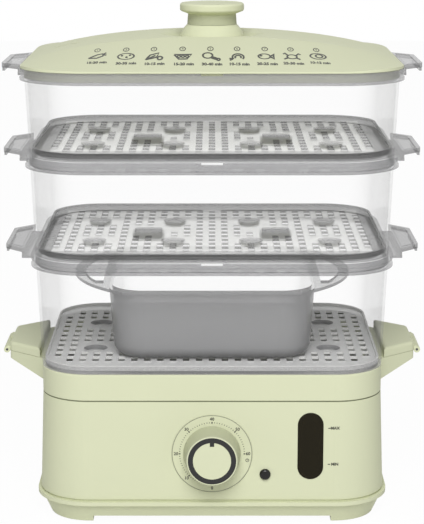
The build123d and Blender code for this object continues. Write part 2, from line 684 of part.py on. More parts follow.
# Drip tray: lies on the tank's deck and catches the juices, with a chimney for the steam
with BuildPart() as drip_tray:
    drip_z = DECK_TOP_Z + LIFT_GAP
    drip_middle_y = (DRIP_FRONT_Y + DRIP_BACK_Y) / 2
    drip_length = DRIP_BACK_Y - DRIP_FRONT_Y
    prism(RING_INNER_R - SIDE_FIT, drip_z, drip_z + DRIP_WALL)
    with BuildSketch(Plane.XY.offset(drip_z + DRIP_WALL)):
        with Locations((0, drip_middle_y)):
            RectangleRounded(2 * DRIP_HALF_X, drip_length, DRIP_CORNER_R)
    extrude(amount=-DRIP_DEPTH, taper=DRIP_DRAFT)
    with BuildSketch(Plane.XY.offset(drip_z + DRIP_WALL)):
        with Locations((0, drip_middle_y)):
            RectangleRounded(
                2 * (DRIP_HALF_X - DRIP_WALL),
                drip_length - 2 * DRIP_WALL,
                DRIP_CORNER_R - DRIP_WALL,
            )
    extrude(amount=-DRIP_DEPTH + DRIP_WALL, taper=DRIP_DRAFT, mode=Mode.SUBTRACT)
    chimney_low = drip_z + DRIP_WALL - DRIP_DEPTH
    chimney_top = drip_z + DRIP_WALL + CHIMNEY_RISE
    disc(0, HEATER_Y, CHIMNEY_R, chimney_low, chimney_top)
    disc(0, HEATER_Y, CHIMNEY_R - DRIP_WALL, chimney_low, chimney_top, mode=Mode.SUBTRACT)
    with BuildSketch(Plane.XY.offset(drip_z)):
        with GridLocations(2 * POUR_SLOT_X, 0, 2, 1):
            RectangleRounded(POUR_SLOT_WIDTH, POUR_SLOT_LENGTH, POUR_SLOT_ROUND)
    extrude(amount=DRIP_WALL, mode=Mode.SUBTRACT)
finish(drip_tray, "drip_tray")

# Water level window in the front panel
with BuildPart() as level_window:
    front_pill(WINDOW_X, WINDOW_Z, WINDOW_WIDTH, WINDOW_HEIGHT, PANEL_Y - WINDOW_PROUD, WINDOW_BACK_Y)
    fillet(level_window.faces().sort_by(Axis.Y)[0].edges(), radius=WINDOW_ROUND)
    front_pill(
        WINDOW_X,
        WINDOW_Z,
        WINDOW_WIDTH + 2 * WINDOW_LIP,
        WINDOW_HEIGHT + 2 * WINDOW_LIP,
        PANEL_BACK_Y + SNUG,
        WINDOW_BACK_Y,
    )
finish(level_window, "level_window")

with BuildPart() as window_seal:
    front_pill(WINDOW_X, WINDOW_Z, WINDOW_WIDTH, WINDOW_HEIGHT, WINDOW_BACK_Y, TANK_FRONT_Y)
    front_pill(
        WINDOW_X,
        WINDOW_Z,
        WINDOW_WIDTH - 2 * WINDOW_SEAL_WIDTH,
        WINDOW_HEIGHT - 2 * WINDOW_SEAL_WIDTH,
        WINDOW_BACK_Y,
        TANK_FRONT_Y,
        mode=Mode.SUBTRACT,
    )
finish(window_seal, "window_seal")

# Timer: dial plate, works, shaft and knob
with BuildPart() as dial_plate:
    front_cylinder(0, DIAL_Z, DIAL_R, DIAL_FACE_Y, DIAL_SEAT_Y)
    fillet(dial_plate.faces().sort_by(Axis.Y)[0].edges(), radius=DIAL_ROUND)
    front_cylinder(0, DIAL_Z, TIMER_NOSE_R + SIDE_FIT, DIAL_FACE_Y - SNUG, DIAL_SEAT_Y, mode=Mode.SUBTRACT)
finish(dial_plate, "dial_plate")

with BuildPart() as timer_body:
    timer_front_y = PAD_BACK_Y + SNUG
    with BuildSketch(front_plane(timer_front_y + TIMER_DEPTH)):
        with Locations((0, DIAL_Z)):
            RectangleRounded(TIMER_SIZE, TIMER_SIZE, TIMER_CORNER_R)
    extrude(amount=TIMER_DEPTH)
    front_cylinder(0, DIAL_Z, TIMER_NOSE_R, DIAL_FACE_Y + SNUG, timer_front_y)
    shaft_end_y = timer_front_y + SHAFT_IN_TIMER
    front_cylinder(0, DIAL_Z, SHAFT_R + RUNNING, DIAL_FACE_Y, shaft_end_y + LIFT_GAP, mode=Mode.SUBTRACT)
    for screw_x in (-TIMER_SCREW_X, TIMER_SCREW_X):
        thread_end = timer_front_y + TIMER_SCREW_GRIP + LIFT_GAP
        front_cylinder(screw_x, DIAL_Z, TIMER_SCREW_R + SNUG, timer_front_y, thread_end, mode=Mode.SUBTRACT)
finish(timer_body, "timer_body")

with BuildPart() as timer_screws:
    for screw_x in (-TIMER_SCREW_X, TIMER_SCREW_X):
        head_front = DIAL_SEAT_Y + SNUG
        head_back = head_front + TIMER_SCREW_HEAD_THICK
        front_cylinder(screw_x, DIAL_Z, TIMER_SCREW_HEAD_R, head_front, head_back)
        front_cylinder(screw_x, DIAL_Z, TIMER_SCREW_R, head_back, timer_front_y + TIMER_SCREW_GRIP)
finish(timer_screws, "timer_screws")

with BuildPart() as timer_shaft:
    front_cylinder(0, DIAL_Z, SHAFT_R, KNOB_BACK_Y - SHAFT_IN_KNOB, shaft_end_y)
finish(timer_shaft, "timer_shaft")

with BuildPart() as timer_knob:
    with BuildSketch(front_plane(KNOB_BACK_Y)):
        with Locations((0, DIAL_Z)):
            Circle(KNOB_BASE_R)
    with BuildSketch(front_plane(KNOB_FACE_Y)):
        with Locations((0, DIAL_Z)):
            Circle(KNOB_FACE_R)
    loft()
    fillet(timer_knob.faces().sort_by(Axis.Y)[0].edges(), radius=KNOB_ROUND)
    groove_back = KNOB_FACE_Y + KNOB_RING_DEPTH
    front_cylinder(0, DIAL_Z, KNOB_RING_OUTER_R + SNUG, KNOB_FACE_Y - SNUG, groove_back, mode=Mode.SUBTRACT)
    front_cylinder(0, DIAL_Z, KNOB_RING_INNER_R - SNUG, KNOB_FACE_Y, groove_back)
    with BuildSketch(front_plane(groove_back)):
        with Locations((0, DIAL_Z + KNOB_RING_INNER_R - POINTER_LENGTH / 2)):
            Rectangle(2 * (POINTER_HALF_WIDTH + SNUG), POINTER_LENGTH + 2 * SNUG)
    extrude(amount=KNOB_RING_DEPTH, mode=Mode.SUBTRACT)
    shaft_socket_y = KNOB_BACK_Y - SHAFT_IN_KNOB - SNUG
    front_cylinder(0, DIAL_Z, SHAFT_R + RUNNING, shaft_socket_y, KNOB_BACK_Y, mode=Mode.SUBTRACT)
finish(timer_knob, "timer_knob")

with BuildPart() as knob_ring:
    with BuildSketch(front_plane(groove_back)):
        with Locations((0, DIAL_Z)):
            Circle(KNOB_RING_OUTER_R)
            Circle(KNOB_RING_INNER_R, mode=Mode.SUBTRACT)
        with Locations((0, DIAL_Z + KNOB_RING_INNER_R - POINTER_LENGTH / 2 + SNUG)):
            Rectangle(2 * POINTER_HALF_WIDTH, POINTER_LENGTH)
    extrude(amount=KNOB_RING_DEPTH)
finish(knob_ring, "knob_ring")

# Pilot lamp
with BuildPart() as lamp_lens:
    front_cylinder(LAMP_X, LAMP_Z, LAMP_R, PANEL_Y - LAMP_RISE, PANEL_Y)
    fillet(lamp_lens.faces().sort_by(Axis.Y)[0].edges(), radius=LAMP_ROUND)
    front_cylinder(LAMP_X, LAMP_Z, LAMP_STEM_R, PANEL_Y, PANEL_BACK_Y)
finish(lamp_lens, "lamp_lens")

with BuildPart() as lamp_holder:
    front_cylinder(LAMP_X, LAMP_Z, LAMP_HOLDER_R, PANEL_BACK_Y, PANEL_BACK_Y + LAMP_HOLDER_DEPTH)
    fillet(lamp_holder.faces().sort_by(Axis.Y)[-1].edges(), radius=LAMP_HOLDER_ROUND)
finish(lamp_holder, "lamp_holder")

# Cord gland in the back wall, and the terminal block that the leads end in
with BuildPart() as cord_gland:
    front_cylinder(GLAND_X, GLAND_Z, GLAND_FLANGE_R, BASE_HALF_Y, BASE_HALF_Y + GLAND_FLANGE_THICK)
    fillet(cord_gland.faces().sort_by(Axis.Y)[-1].edges(), radius=GLAND_ROUND)
    neck_front_y = BASE_HALF_Y - SHELL - GLAND_INSIDE
    front_cylinder(GLAND_X, GLAND_Z, GLAND_NECK_R, neck_front_y, BASE_HALF_Y)
    gland_back_y = BASE_HALF_Y + GLAND_FLANGE_THICK
    front_cylinder(GLAND_X, GLAND_Z, GLAND_BORE_R, neck_front_y, gland_back_y, mode=Mode.SUBTRACT)
finish(cord_gland, "cord_gland")

with BuildPart() as gland_nut:
    nut_back_y = BASE_HALF_Y - SHELL
    with BuildSketch(front_plane(nut_back_y)):
        with Locations((GLAND_X, GLAND_Z)):
            RegularPolygon(GLAND_FLANGE_R, 6)
            Circle(GLAND_NECK_R + RUNNING, mode=Mode.SUBTRACT)
    extrude(amount=GLAND_NUT_THICK)
finish(gland_nut, "gland_nut")

with BuildPart() as terminal_block:
    length, width, height = TERMINAL_SIZE
    with BuildSketch(Plane.XY.offset(FLOOR_TOP_Z)):
        with Locations((TERMINAL_X, TERMINAL_Y)):
            RectangleRounded(length, width, TERMINAL_ROUND)
    extrude(amount=height)
    for way in range(TERMINAL_WAYS):
        way_x = TERMINAL_X + (way - (TERMINAL_WAYS - 1) / 2) * length / TERMINAL_WAYS
        block_top = FLOOR_TOP_Z + height
        disc(way_x, TERMINAL_Y, TERMINAL_HOLE_R, block_top - height / 2, block_top, mode=Mode.SUBTRACT)
        front_cylinder(
            way_x,
            FLOOR_TOP_Z + height / 3,
            TERMINAL_LEAD_R,
            TERMINAL_Y - width,
            TERMINAL_Y + width,
            mode=Mode.SUBTRACT,
        )
finish(terminal_block, "terminal_block")

# Inlet covers: each swings up about a pin at its outer end
for side, side_name in ((-1, "left"), (1, "right")):
    cover_low = INLET_TOP_Z + LIFT_GAP
    with BuildPart() as inlet_cover:
        with BuildSketch(Plane.XY.offset(cover_low)):
            wing(side, COVER_INNER_X, INLET_OUTER_X, COVER_INNER_HALF_Y, INLET_OUTER_HALF_Y, INLET_CORNER_R)
        extrude(amount=COVER_TOP_Z - cover_low)
        fillet(inlet_cover.faces().sort_by(Axis.Z)[-1].edges(), radius=COVER_ROUND)
        pocket_inner_x = COVER_INNER_X + INLET_WALL
        pocket_outer_x = INLET_OUTER_X - 2 * INLET_WALL
        with BuildSketch(Plane.XY.offset(cover_low)):
            wing(
                side,
                pocket_inner_x,
                pocket_outer_x,
                COVER_INNER_HALF_Y - 2 * INLET_WALL,
                INLET_OUTER_HALF_Y - INLET_WALL / 2,
                INLET_CORNER_R,
            )
        extrude(amount=COVER_TOP_Z - cover_low - COVER_THICK, mode=Mode.SUBTRACT)
        knuckle_start = KNUCKLE_HALF_Y + KNUCKLE_GAP
        for end in (-1, 1):
            start_y = end * knuckle_start
            with BuildSketch(Plane.XZ.offset(-start_y)):
                with Locations((side * HINGE_X, HINGE_Z)):
                    Circle(KNUCKLE_R)
                leaf_x = (HINGE_X + INLET_OUTER_X - INLET_WALL) / 2
                with Locations((side * leaf_x, cover_low + KNUCKLE_R / 2)):
                    Rectangle(HINGE_X - INLET_OUTER_X + INLET_WALL, KNUCKLE_R)
            extrude(amount=-end * (HINGE_HALF_Y - knuckle_start))
        with BuildSketch(Plane.XZ.offset(-HINGE_HALF_Y - SNUG)):
            with Locations((side * HINGE_X, HINGE_Z)):
                Circle(HINGE_PIN_R + RUNNING)
        extrude(amount=2 * HINGE_HALF_Y + 2 * SNUG, mode=Mode.SUBTRACT)
    finish(inlet_cover, f"{side_name}_inlet_cover")

    with BuildPart() as hinge_pin:
        with BuildSketch(Plane.XZ.offset(-HINGE_HALF_Y)):
            with Locations((side * HINGE_X, HINGE_Z)):
                Circle(HINGE_PIN_R)
        extrude(amount=2 * HINGE_HALF_Y)
    finish(hinge_pin, f"{side_name}_hinge_pin")

# Baskets: clear nesting boxes with a stepped rim and two handles
for tier, tier_name in enumerate(TIER_NAMES):
    rim_z = RIM_Z[tier]
    seat_z = SEAT_Z[tier]
    rim_low_z = rim_z - RIM_HEIGHT
    rim_outer_r = RIM_INNER_R[tier] + RIM_THICK
    skirt_low_z = seat_z - NEST_DEPTH + LIFT_GAP
    floor_z = LEDGE_Z[tier] + LEDGE_THICK
    with BuildPart() as basket:
        tapered_prism(WALL_LOW_R[tier], LEDGE_Z[tier], WALL_HIGH_R[tier], rim_low_z)
        prism(rim_outer_r - RIM_BEAD, rim_low_z, rim_z)
        prism(rim_outer_r, rim_z - RIM_BEAD_HEIGHT, rim_z)
        prism(rim_outer_r, rim_low_z, rim_low_z + RIM_BEAD_HEIGHT / 2)
        for side in (-1, 1):
            grip_top = rim_z - GRIP_DROP
            shelf_top = rim_z - GRIP_SHELF_Z
            with BuildSketch(Plane.XY.offset(shelf_top - GRIP_SHELF_THICK)):
                wing(
                    side,
                    CORE_X / 2,
                    GRIP_INNER_X + GRIP_WALL,
                    GRIP_INNER_HALF_Y,
                    GRIP_NECK_HALF_Y,
                    GRIP_SHELF_CORNER_R,
                )
            extrude(amount=GRIP_SHELF_THICK)
            with BuildSketch(Plane.XY.offset(grip_top - GRIP_SKIRT)):
                wing(side, GRIP_INNER_X, GRIP_OUTER_X, GRIP_NECK_HALF_Y, GRIP_OUTER_HALF_Y, GRIP_CORNER_R)
            extrude(amount=GRIP_SKIRT)
            with BuildSketch(Plane.XY.offset(grip_top - GRIP_SKIRT)):
                wing(
                    side,
                    GRIP_INNER_X + GRIP_WALL,
                    GRIP_OUTER_X - GRIP_WALL,
                    GRIP_NECK_HALF_Y - 2 * GRIP_WALL,
                    GRIP_OUTER_HALF_Y - GRIP_WALL,
                    GRIP_CORNER_R - GRIP_WALL,
                )
            extrude(amount=GRIP_SKIRT - GRIP_PLATE, mode=Mode.SUBTRACT)
            with BuildSketch(Plane.XY.offset(grip_top - GRIP_PANEL_DEPTH)):
                wing(
                    side,
                    GRIP_INNER_X + GRIP_PANEL_INSET / 2,
                    GRIP_OUTER_X - GRIP_PANEL_INSET,
                    GRIP_NECK_HALF_Y - 2 * GRIP_PANEL_INSET,
                    GRIP_OUTER_HALF_Y - GRIP_PANEL_INSET / 2,
                    GRIP_CORNER_R - GRIP_WALL,
                )
            extrude(amount=GRIP_PANEL_DEPTH, mode=Mode.SUBTRACT)
            with BuildSketch(Plane.XY.offset(grip_top - GRIP_LIP)):
                with Locations((side * (GRIP_OUTER_X - GRIP_WALL / 2), 0)):
                    Rectangle(GRIP_WALL, 2 * (GRIP_OUTER_HALF_Y - GRIP_CORNER_R))
            extrude(amount=GRIP_LIP - GRIP_PLATE / 2)
            with BuildSketch(Plane.XY.offset(shelf_top - GRIP_SHELF_THICK)):
                with Locations((side * (GRIP_INNER_X + GRIP_WALL / 2), 0)):
                    Rectangle(GRIP_WALL, 2 * GRIP_WEB_HALF_Y)
            extrude(amount=grip_top - GRIP_PLATE / 2 - shelf_top + GRIP_SHELF_THICK)
        prism(SKIRT_R[tier], skirt_low_z, LEDGE_Z[tier])
        skirt_inner_r = SKIRT_R[tier] - BASKET_WALL
        prism(skirt_inner_r, skirt_low_z, LEDGE_Z[tier], mode=Mode.SUBTRACT)
        prism(SKIRT_R[tier] - LEDGE_WIDTH, LEDGE_Z[tier], floor_z, mode=Mode.SUBTRACT)
        wall_rise = rim_low_z - LEDGE_Z[tier]
        floor_wall_r = WALL_LOW_R[tier] + (WALL_HIGH_R[tier] - WALL_LOW_R[tier]) * LEDGE_THICK / wall_rise
        seat_low_z = rim_z - NEST_DEPTH
        tapered_prism(
            floor_wall_r - BASKET_WALL,
            floor_z,
            WALL_HIGH_R[tier] - BASKET_WALL,
            seat_low_z,
            mode=Mode.SUBTRACT,
        )
        prism(RIM_INNER_R[tier], seat_low_z, rim_z, mode=Mode.SUBTRACT)
        with BuildSketch(Plane.XY.offset(rim_z - RIM_NOTCH_DEPTH)):
            Rectangle(RIM_NOTCH_WIDTH, 2 * CORE_Y)
        extrude(amount=RIM_NOTCH_DEPTH, mode=Mode.SUBTRACT)
        with BuildSketch(Plane.XY.offset(skirt_low_z)):
            for slot in range(DRAIN_COUNT):
                slot_x = DRAIN_FIRST_X + slot * DRAIN_PITCH
                with Locations((-slot_x, 0), (slot_x, 0)):
                    Rectangle(DRAIN_WIDTH, 2 * CORE_Y)
        extrude(amount=DRAIN_HEIGHT, mode=Mode.SUBTRACT)
    finish(basket, f"basket_{tier_name}")


# Trays: plates with a grid of oblong holes, sunk egg cups and two finger wells
def hole_points():
    """Grid points that keep a hole: the rest is taken by an egg cup, a finger well or a rounded corner."""
    points = []
    for column in range(-HOLE_COLUMNS, HOLE_COLUMNS + 1):
        for row in range(-HOLE_ROWS, HOLE_ROWS + 1):
            across = abs(column)
            along = abs(row)
            keep = across in (0, 1, 7, 11, 12)
            if across in (2, 8, 9, 10):
                keep = along in (0, 1, 4, 5)
            if across == 3:
                keep = row == -1 or along >= 4
            if across == 4:
                keep = along >= 4
            if across in (5, 6):
                keep = along >= 2
            if across == HOLE_COLUMNS and along == HOLE_ROWS:
                keep = False
            if keep:
                points.append((column * HOLE_PITCH_X, row * HOLE_PITCH_Y))
    return points


def egg_points():
    return [(sign_x * x, sign_y * EGG_Y) for x in EGG_X for sign_x in (-1, 1) for sign_y in (-1, 1)]


for tier, tier_name in enumerate(TIER_NAMES):
    plate_low = TRAY_Z[tier]
    plate_top = plate_low + TRAY_THICK
    cup_draft = draft(0, EGG_TOP_R - EGG_FOOT_R, EGG_DEPTH)
    with BuildPart() as tray:
        with BuildSketch(Plane.XY.offset(plate_top)):
            with Locations(*egg_points()):
                Circle(EGG_TOP_R + EGG_WALL)
        extrude(amount=-EGG_DEPTH, taper=cup_draft)
        with BuildSketch(Plane.XY.offset(plate_top)):
            with Locations(*egg_points()):
                Circle(EGG_TOP_R)
        extrude(amount=-EGG_DEPTH + EGG_WALL, taper=cup_draft, mode=Mode.SUBTRACT)
        with BuildSketch(Plane.XY.offset(plate_top)):
            with Locations(*egg_points()):
                Circle(EGG_HOLE_R)
        extrude(amount=-EGG_DEPTH, mode=Mode.SUBTRACT)
        with BuildSketch(Plane.XY.offset(plate_top)):
            with GridLocations(2 * WELL_X, 0, 2, 1):
                RectangleRounded(
                    WELL_WIDTH + 2 * WELL_WALL,
                    WELL_DEPTH + 2 * WELL_WALL,
                    WELL_ROUND + WELL_WALL,
                )
        extrude(amount=-WELL_DROP)
        with BuildSketch(Plane.XY.offset(plate_top)):
            with GridLocations(2 * WELL_X, 0, 2, 1):
                RectangleRounded(WELL_WIDTH, WELL_DEPTH, WELL_ROUND)
        extrude(amount=-WELL_DROP + WELL_WALL, mode=Mode.SUBTRACT)
        with BuildSketch(Plane.XY.offset(plate_top)):
            core_outline(TRAY_R[tier])
            offset(amount=-TRAY_LIP_WIDTH, mode=Mode.SUBTRACT)
        extrude(amount=TRAY_LIP_HEIGHT)
        with BuildSketch(Plane.XY.offset(plate_low)):
            core_outline(TRAY_R[tier])
            with Locations(*hole_points()):
                Rectangle(HOLE_WIDTH, HOLE_LENGTH, mode=Mode.SUBTRACT)
            with Locations(*egg_points()):
                Circle(EGG_TOP_R, mode=Mode.SUBTRACT)
            with GridLocations(2 * WELL_X, 0, 2, 1):
                RectangleRounded(WELL_WIDTH, WELL_DEPTH, WELL_ROUND, mode=Mode.SUBTRACT)
        extrude(amount=TRAY_THICK)
    finish(tray, f"tray_{tier_name}")


# Rice bowl: a square bowl whose rim widens to a round ear on each side
def bowl_outline(reach):
    return RectangleRounded(BOWL_BOTTOM[0] + 2 * reach, BOWL_BOTTOM[1] + 2 * reach, BOWL_BOTTOM_R + reach)


with BuildPart() as rice_bowl:
    bowl_draft = draft(BOWL_FLARE, 0, BOWL_RIM_Z - BOWL_Z)
    with BuildSketch(Plane.XY.offset(BOWL_Z)):
        bowl_outline(0)
    extrude(amount=BOWL_RIM_Z - BOWL_Z, taper=bowl_draft)
    with BuildSketch(Plane.XY.offset(BOWL_RIM_Z - BOWL_RIM_THICK)):
        Circle(EAR_R)
        Rectangle(2 * EAR_R, 2 * EAR_HALF_Y, mode=Mode.INTERSECT)
        bowl_outline(BOWL_FLARE + BOWL_RIM_REACH)
    extrude(amount=BOWL_RIM_THICK)
    with BuildSketch(Plane.XY.offset(BOWL_RIM_Z - BOWL_RIM_THICK)):
        with GridLocations(2 * EAR_HOLE_X, 0, 2, 1):
            Rectangle(EAR_HOLE_WIDTH, EAR_HOLE_LENGTH)
        Circle(EAR_R - EAR_BAND, mode=Mode.INTERSECT)
    extrude(amount=BOWL_RIM_THICK, mode=Mode.SUBTRACT)
    with BuildSketch(Plane.XY.offset(BOWL_Z + BOWL_WALL)):
        bowl_outline(-BOWL_WALL)
    extrude(amount=BOWL_RIM_Z - BOWL_Z - BOWL_WALL, taper=bowl_draft, mode=Mode.SUBTRACT)
    bowl_floor = rice_bowl.faces().filter_by(Axis.Z).sort_by(Axis.Z)[1]
    fillet(bowl_floor.edges(), radius=BOWL_FOOT_ROUND - BOWL_WALL)
    fillet(rice_bowl.faces().sort_by(Axis.Z)[0].edges(), radius=BOWL_FOOT_ROUND)
finish(rice_bowl, "rice_bowl")


# Lid: a shallow vault with sloping front and back, a dished middle and a boss for the knob
def lid_profile(y, crown, edge, half_x, low):
    """Upright section of the lid: its top is one curve that rises from the edge to the crown."""
    pull_z = edge + (crown - edge) * LID_PULL
    with BuildSketch(front_plane(y)) as section:
        with BuildLine():
            Bezier((-half_x, edge), (-LID_PULL_X, pull_z), (LID_PULL_X, pull_z), (half_x, edge))
            Polyline((half_x, edge), (half_x, low), (-half_x, low), (-half_x, edge))
        make_face()
    return section.sketch


def lid_vault(crown, edge, half_x, half_y, low, mode=Mode.ADD):
    """Solid under the lid's top face: a vaulted band across the middle and two slopes."""
    extrude(lid_profile(LID_BAND_HALF_Y, crown, edge, half_x, low), amount=2 * LID_BAND_HALF_Y, mode=mode)
    for end in (-1, 1):
        ridge = lid_profile(end * LID_BAND_HALF_Y, crown, edge, half_x, low)
        border = lid_profile(end * half_y, edge, edge, half_x, low)
        loft([ridge, border], ruled=True, mode=mode)


with BuildPart() as lid_hollow:
    hollow_low_z = LID_SEAT_Z - NEST_DEPTH - OVERRUN
    lid_inner_half_x = CORE_X / 2 + LID_R - LID_WALL
    lid_inner_half_y = CORE_Y / 2 + LID_R - LID_WALL
    lid_vault(
        LID_CROWN_Z - LID_WALL,
        LID_EDGE_Z - LID_HOLLOW_DROP,
        lid_inner_half_x,
        lid_inner_half_y,
        hollow_low_z,
    )
    prism(LID_SKIRT_R - LID_SKIRT_WALL, hollow_low_z, LID_CROWN_Z, mode=Mode.INTERSECT)
    disc(0, 0, DISH_R + DISH_THICK, LID_CROWN_Z - DISH_DEPTH - DISH_THICK, LID_CROWN_Z, mode=Mode.SUBTRACT)

with BuildPart() as lid:
    lid_vault(LID_CROWN_Z, LID_EDGE_Z, CORE_X / 2 + LID_R, CORE_Y / 2 + LID_R, LID_SEAT_Z)
    prism(LID_R, LID_SEAT_Z, LID_CROWN_Z + OVERRUN, mode=Mode.INTERSECT)
    lid_skirt_low = RIM_Z[2] - NEST_DEPTH + LIFT_GAP
    prism(LID_SKIRT_R, lid_skirt_low, LID_SEAT_Z)
    add(lid_hollow.part, mode=Mode.SUBTRACT)
    dish_floor_z = LID_CROWN_Z - DISH_DEPTH
    with BuildSketch(Plane.XZ):
        with BuildLine():
            Polyline(
                (DISH_FLOOR_R, dish_floor_z),
                (0, dish_floor_z),
                (0, LID_CROWN_Z + OVERRUN),
                (DISH_R + OVERRUN, LID_CROWN_Z + OVERRUN),
                (DISH_R, LID_CROWN_Z - DISH_LIP),
            )
            SagittaArc((DISH_R, LID_CROWN_Z - DISH_LIP), (DISH_FLOOR_R, dish_floor_z), -DISH_SAG)
        make_face()
    revolve(axis=Axis.Z, mode=Mode.SUBTRACT)
    with BuildSketch(Plane.XZ):
        with BuildLine():
            Polyline(
                (BOSS_TOP_R, BOSS_TOP_Z),
                (0, BOSS_TOP_Z),
                (0, dish_floor_z - OVERRUN),
                (BOSS_FOOT_R, dish_floor_z - OVERRUN),
                (BOSS_FOOT_R, dish_floor_z),
            )
            SagittaArc((BOSS_FOOT_R, dish_floor_z), (BOSS_TOP_R, BOSS_TOP_Z), -BOSS_SAG)
        make_face()
    revolve(axis=Axis.Z)
    head_top_z = dish_floor_z + LID_SCREW_HEAD_THICK
    disc(0, 0, LID_SCREW_HEAD_R + SIDE_FIT, lid_skirt_low, head_top_z, mode=Mode.SUBTRACT)
    disc(0, 0, LID_SCREW_R + SNUG, head_top_z, BOSS_TOP_Z, mode=Mode.SUBTRACT)
    for vent in range(VENT_COUNT):
        with BuildSketch(Plane.XY.offset(LID_SEAT_Z)):
            with Locations((-VENT_X + vent * VENT_PITCH, 0)):
                SlotOverall(VENT_LENGTH, VENT_WIDTH, rotation=90 - VENT_TILT)
        extrude(amount=LID_CROWN_Z - LID_SEAT_Z, mode=Mode.SUBTRACT)
finish(lid, "lid")

with BuildPart() as lid_knob:
    knob_low_z = BOSS_TOP_Z + KNOB_SEAM
    with BuildSketch(Plane.XZ):
        with BuildLine():
            Polyline(
                (KNOB_NECK_R, KNOB_DISC_Z - KNOB_FLARE),
                (KNOB_DISC_R, KNOB_DISC_Z),
                (KNOB_DISC_R, KNOB_TOP_Z),
                (0, KNOB_TOP_Z),
                (0, knob_low_z),
                (KNOB_NECK_LOW_R, knob_low_z),
                (KNOB_NECK_R, KNOB_DISC_Z - KNOB_FLARE),
            )
        make_face()
    revolve(axis=Axis.Z)
    rim_edges = lid_knob.edges().filter_by(GeomType.CIRCLE).filter_by(lambda e: e.radius > KNOB_DISC_R - 0.01)
    fillet(rim_edges, radius=KNOB_DISC_ROUND)
    disc(0, 0, LID_SCREW_R + SNUG, knob_low_z, knob_low_z + LID_SCREW_REACH + SNUG, mode=Mode.SUBTRACT)
finish(lid_knob, "lid_knob")

with BuildPart() as lid_screw:
    disc(0, 0, LID_SCREW_HEAD_R, dish_floor_z, head_top_z)
    disc(0, 0, LID_SCREW_R, head_top_z, knob_low_z + LID_SCREW_REACH)
finish(lid_screw, "lid_screw")
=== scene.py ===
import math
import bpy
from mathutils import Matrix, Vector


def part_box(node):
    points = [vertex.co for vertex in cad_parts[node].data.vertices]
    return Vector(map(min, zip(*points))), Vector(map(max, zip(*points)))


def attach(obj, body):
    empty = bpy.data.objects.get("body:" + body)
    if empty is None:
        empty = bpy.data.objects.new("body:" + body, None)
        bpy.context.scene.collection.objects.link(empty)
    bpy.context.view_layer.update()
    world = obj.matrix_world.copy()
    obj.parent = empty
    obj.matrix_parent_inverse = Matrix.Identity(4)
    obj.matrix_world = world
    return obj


bl_info = {
    "name": "Food steamer finishes",
    "version": (1, 0, 0),
    "blender": (4, 5, 0),
    "location": "View3D > Sidebar > Steamer",
    "description": "Finishes, printed marks and a small studio for a three-tier food steamer",
    "category": "Object",
}

import bmesh
import bpy
from bpy.props import FloatProperty, FloatVectorProperty, IntProperty, PointerProperty
from mathutils import Matrix, Vector
from mathutils.bvhtree import BVHTree

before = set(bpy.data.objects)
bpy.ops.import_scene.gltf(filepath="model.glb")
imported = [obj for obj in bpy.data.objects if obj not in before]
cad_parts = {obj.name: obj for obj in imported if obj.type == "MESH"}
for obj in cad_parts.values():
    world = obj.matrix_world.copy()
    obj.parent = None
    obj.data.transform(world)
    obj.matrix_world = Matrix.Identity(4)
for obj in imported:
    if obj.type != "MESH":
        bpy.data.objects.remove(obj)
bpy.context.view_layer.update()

# All lengths are in metres. Places that the printed marks sit on, taken from the solids
DIAL_LOW, DIAL_HIGH = (Vector(corner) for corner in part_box("dial_plate"))
DIAL_CENTRE = (DIAL_LOW + DIAL_HIGH) / 2
PANEL_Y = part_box("base_housing")[0][1]
LID_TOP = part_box("lid")[1][2]
INK_LIFT = 0.0001
UPRIGHT = Matrix.Rotation(math.radians(90), 4, "X")

# Sockets of a mix node by the kind of data: first value, second value and result
MIX_SOCKETS = {"FLOAT": (2, 3, 0), "RGBA": (6, 7, 2)}

# Moulded surface: size and detail of its patches, detail and depth of its grain
PATCH_SCALE = 22.0
PATCH_DETAIL = 3.0
GRAIN_DETAIL = 1.0
GRAIN_DEPTH = 0.0002

# Heights of the zones that clear pieces are denser in, and how softly the zones end
RIM_BAND = 0.0092
# LEDGE_UNDER_TRAY and LEDGE_OVER_TRAY bound the band on each near ledge that is painted dark as
# shade
LEDGE_UNDER_TRAY = 0.0065
LEDGE_OVER_TRAY = 0.0004
BOWL_FLOOR_BAND = 0.006
BOWL_RIM_BAND = 0.0026
BAND_BLUR = 0.0004
BOWL_FLOOR_BLUR = 0.001
SHARP_BLUR = 0.0002

# Thickness of the lid knob's cap, and the height over which the neck's painted shade fades
GRIP_CAP = 0.0085
GRIP_FADE = 0.003

# Groove between the housing and the band above it, which is painted darker as shade
SEAM_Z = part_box("base_housing")[1][2]
SEAM_HALF = 0.0006

# How much longer the half width of every tier is than its half depth, without the handles,
# and a half depth that takes in every piece
WIDER_THAN_DEEP = 0.0265
ANY_DEPTH = 1.0

# Half width and half depth of the field of holes in a tray: what lies outside it is its border
FIELD_HALF_WIDTH = 0.122
FIELD_HALF_DEPTH = 0.084

# Limits of the normal: how level a face is at most if it counts as upright or steep, how far
# it looks outwards at least if it counts as outside, and how far it faces the user at most if
# it counts as the side of the timer knob
UPRIGHT_LEVEL = 0.5
STEEP_LEVEL = 0.8
OUTSIDE_LEAN = 0.01
# KNOB_SIDE_LEAN picks the faces of the timer knob's side that are painted a darker sage as shade
KNOB_SIDE_LEAN = 0.9

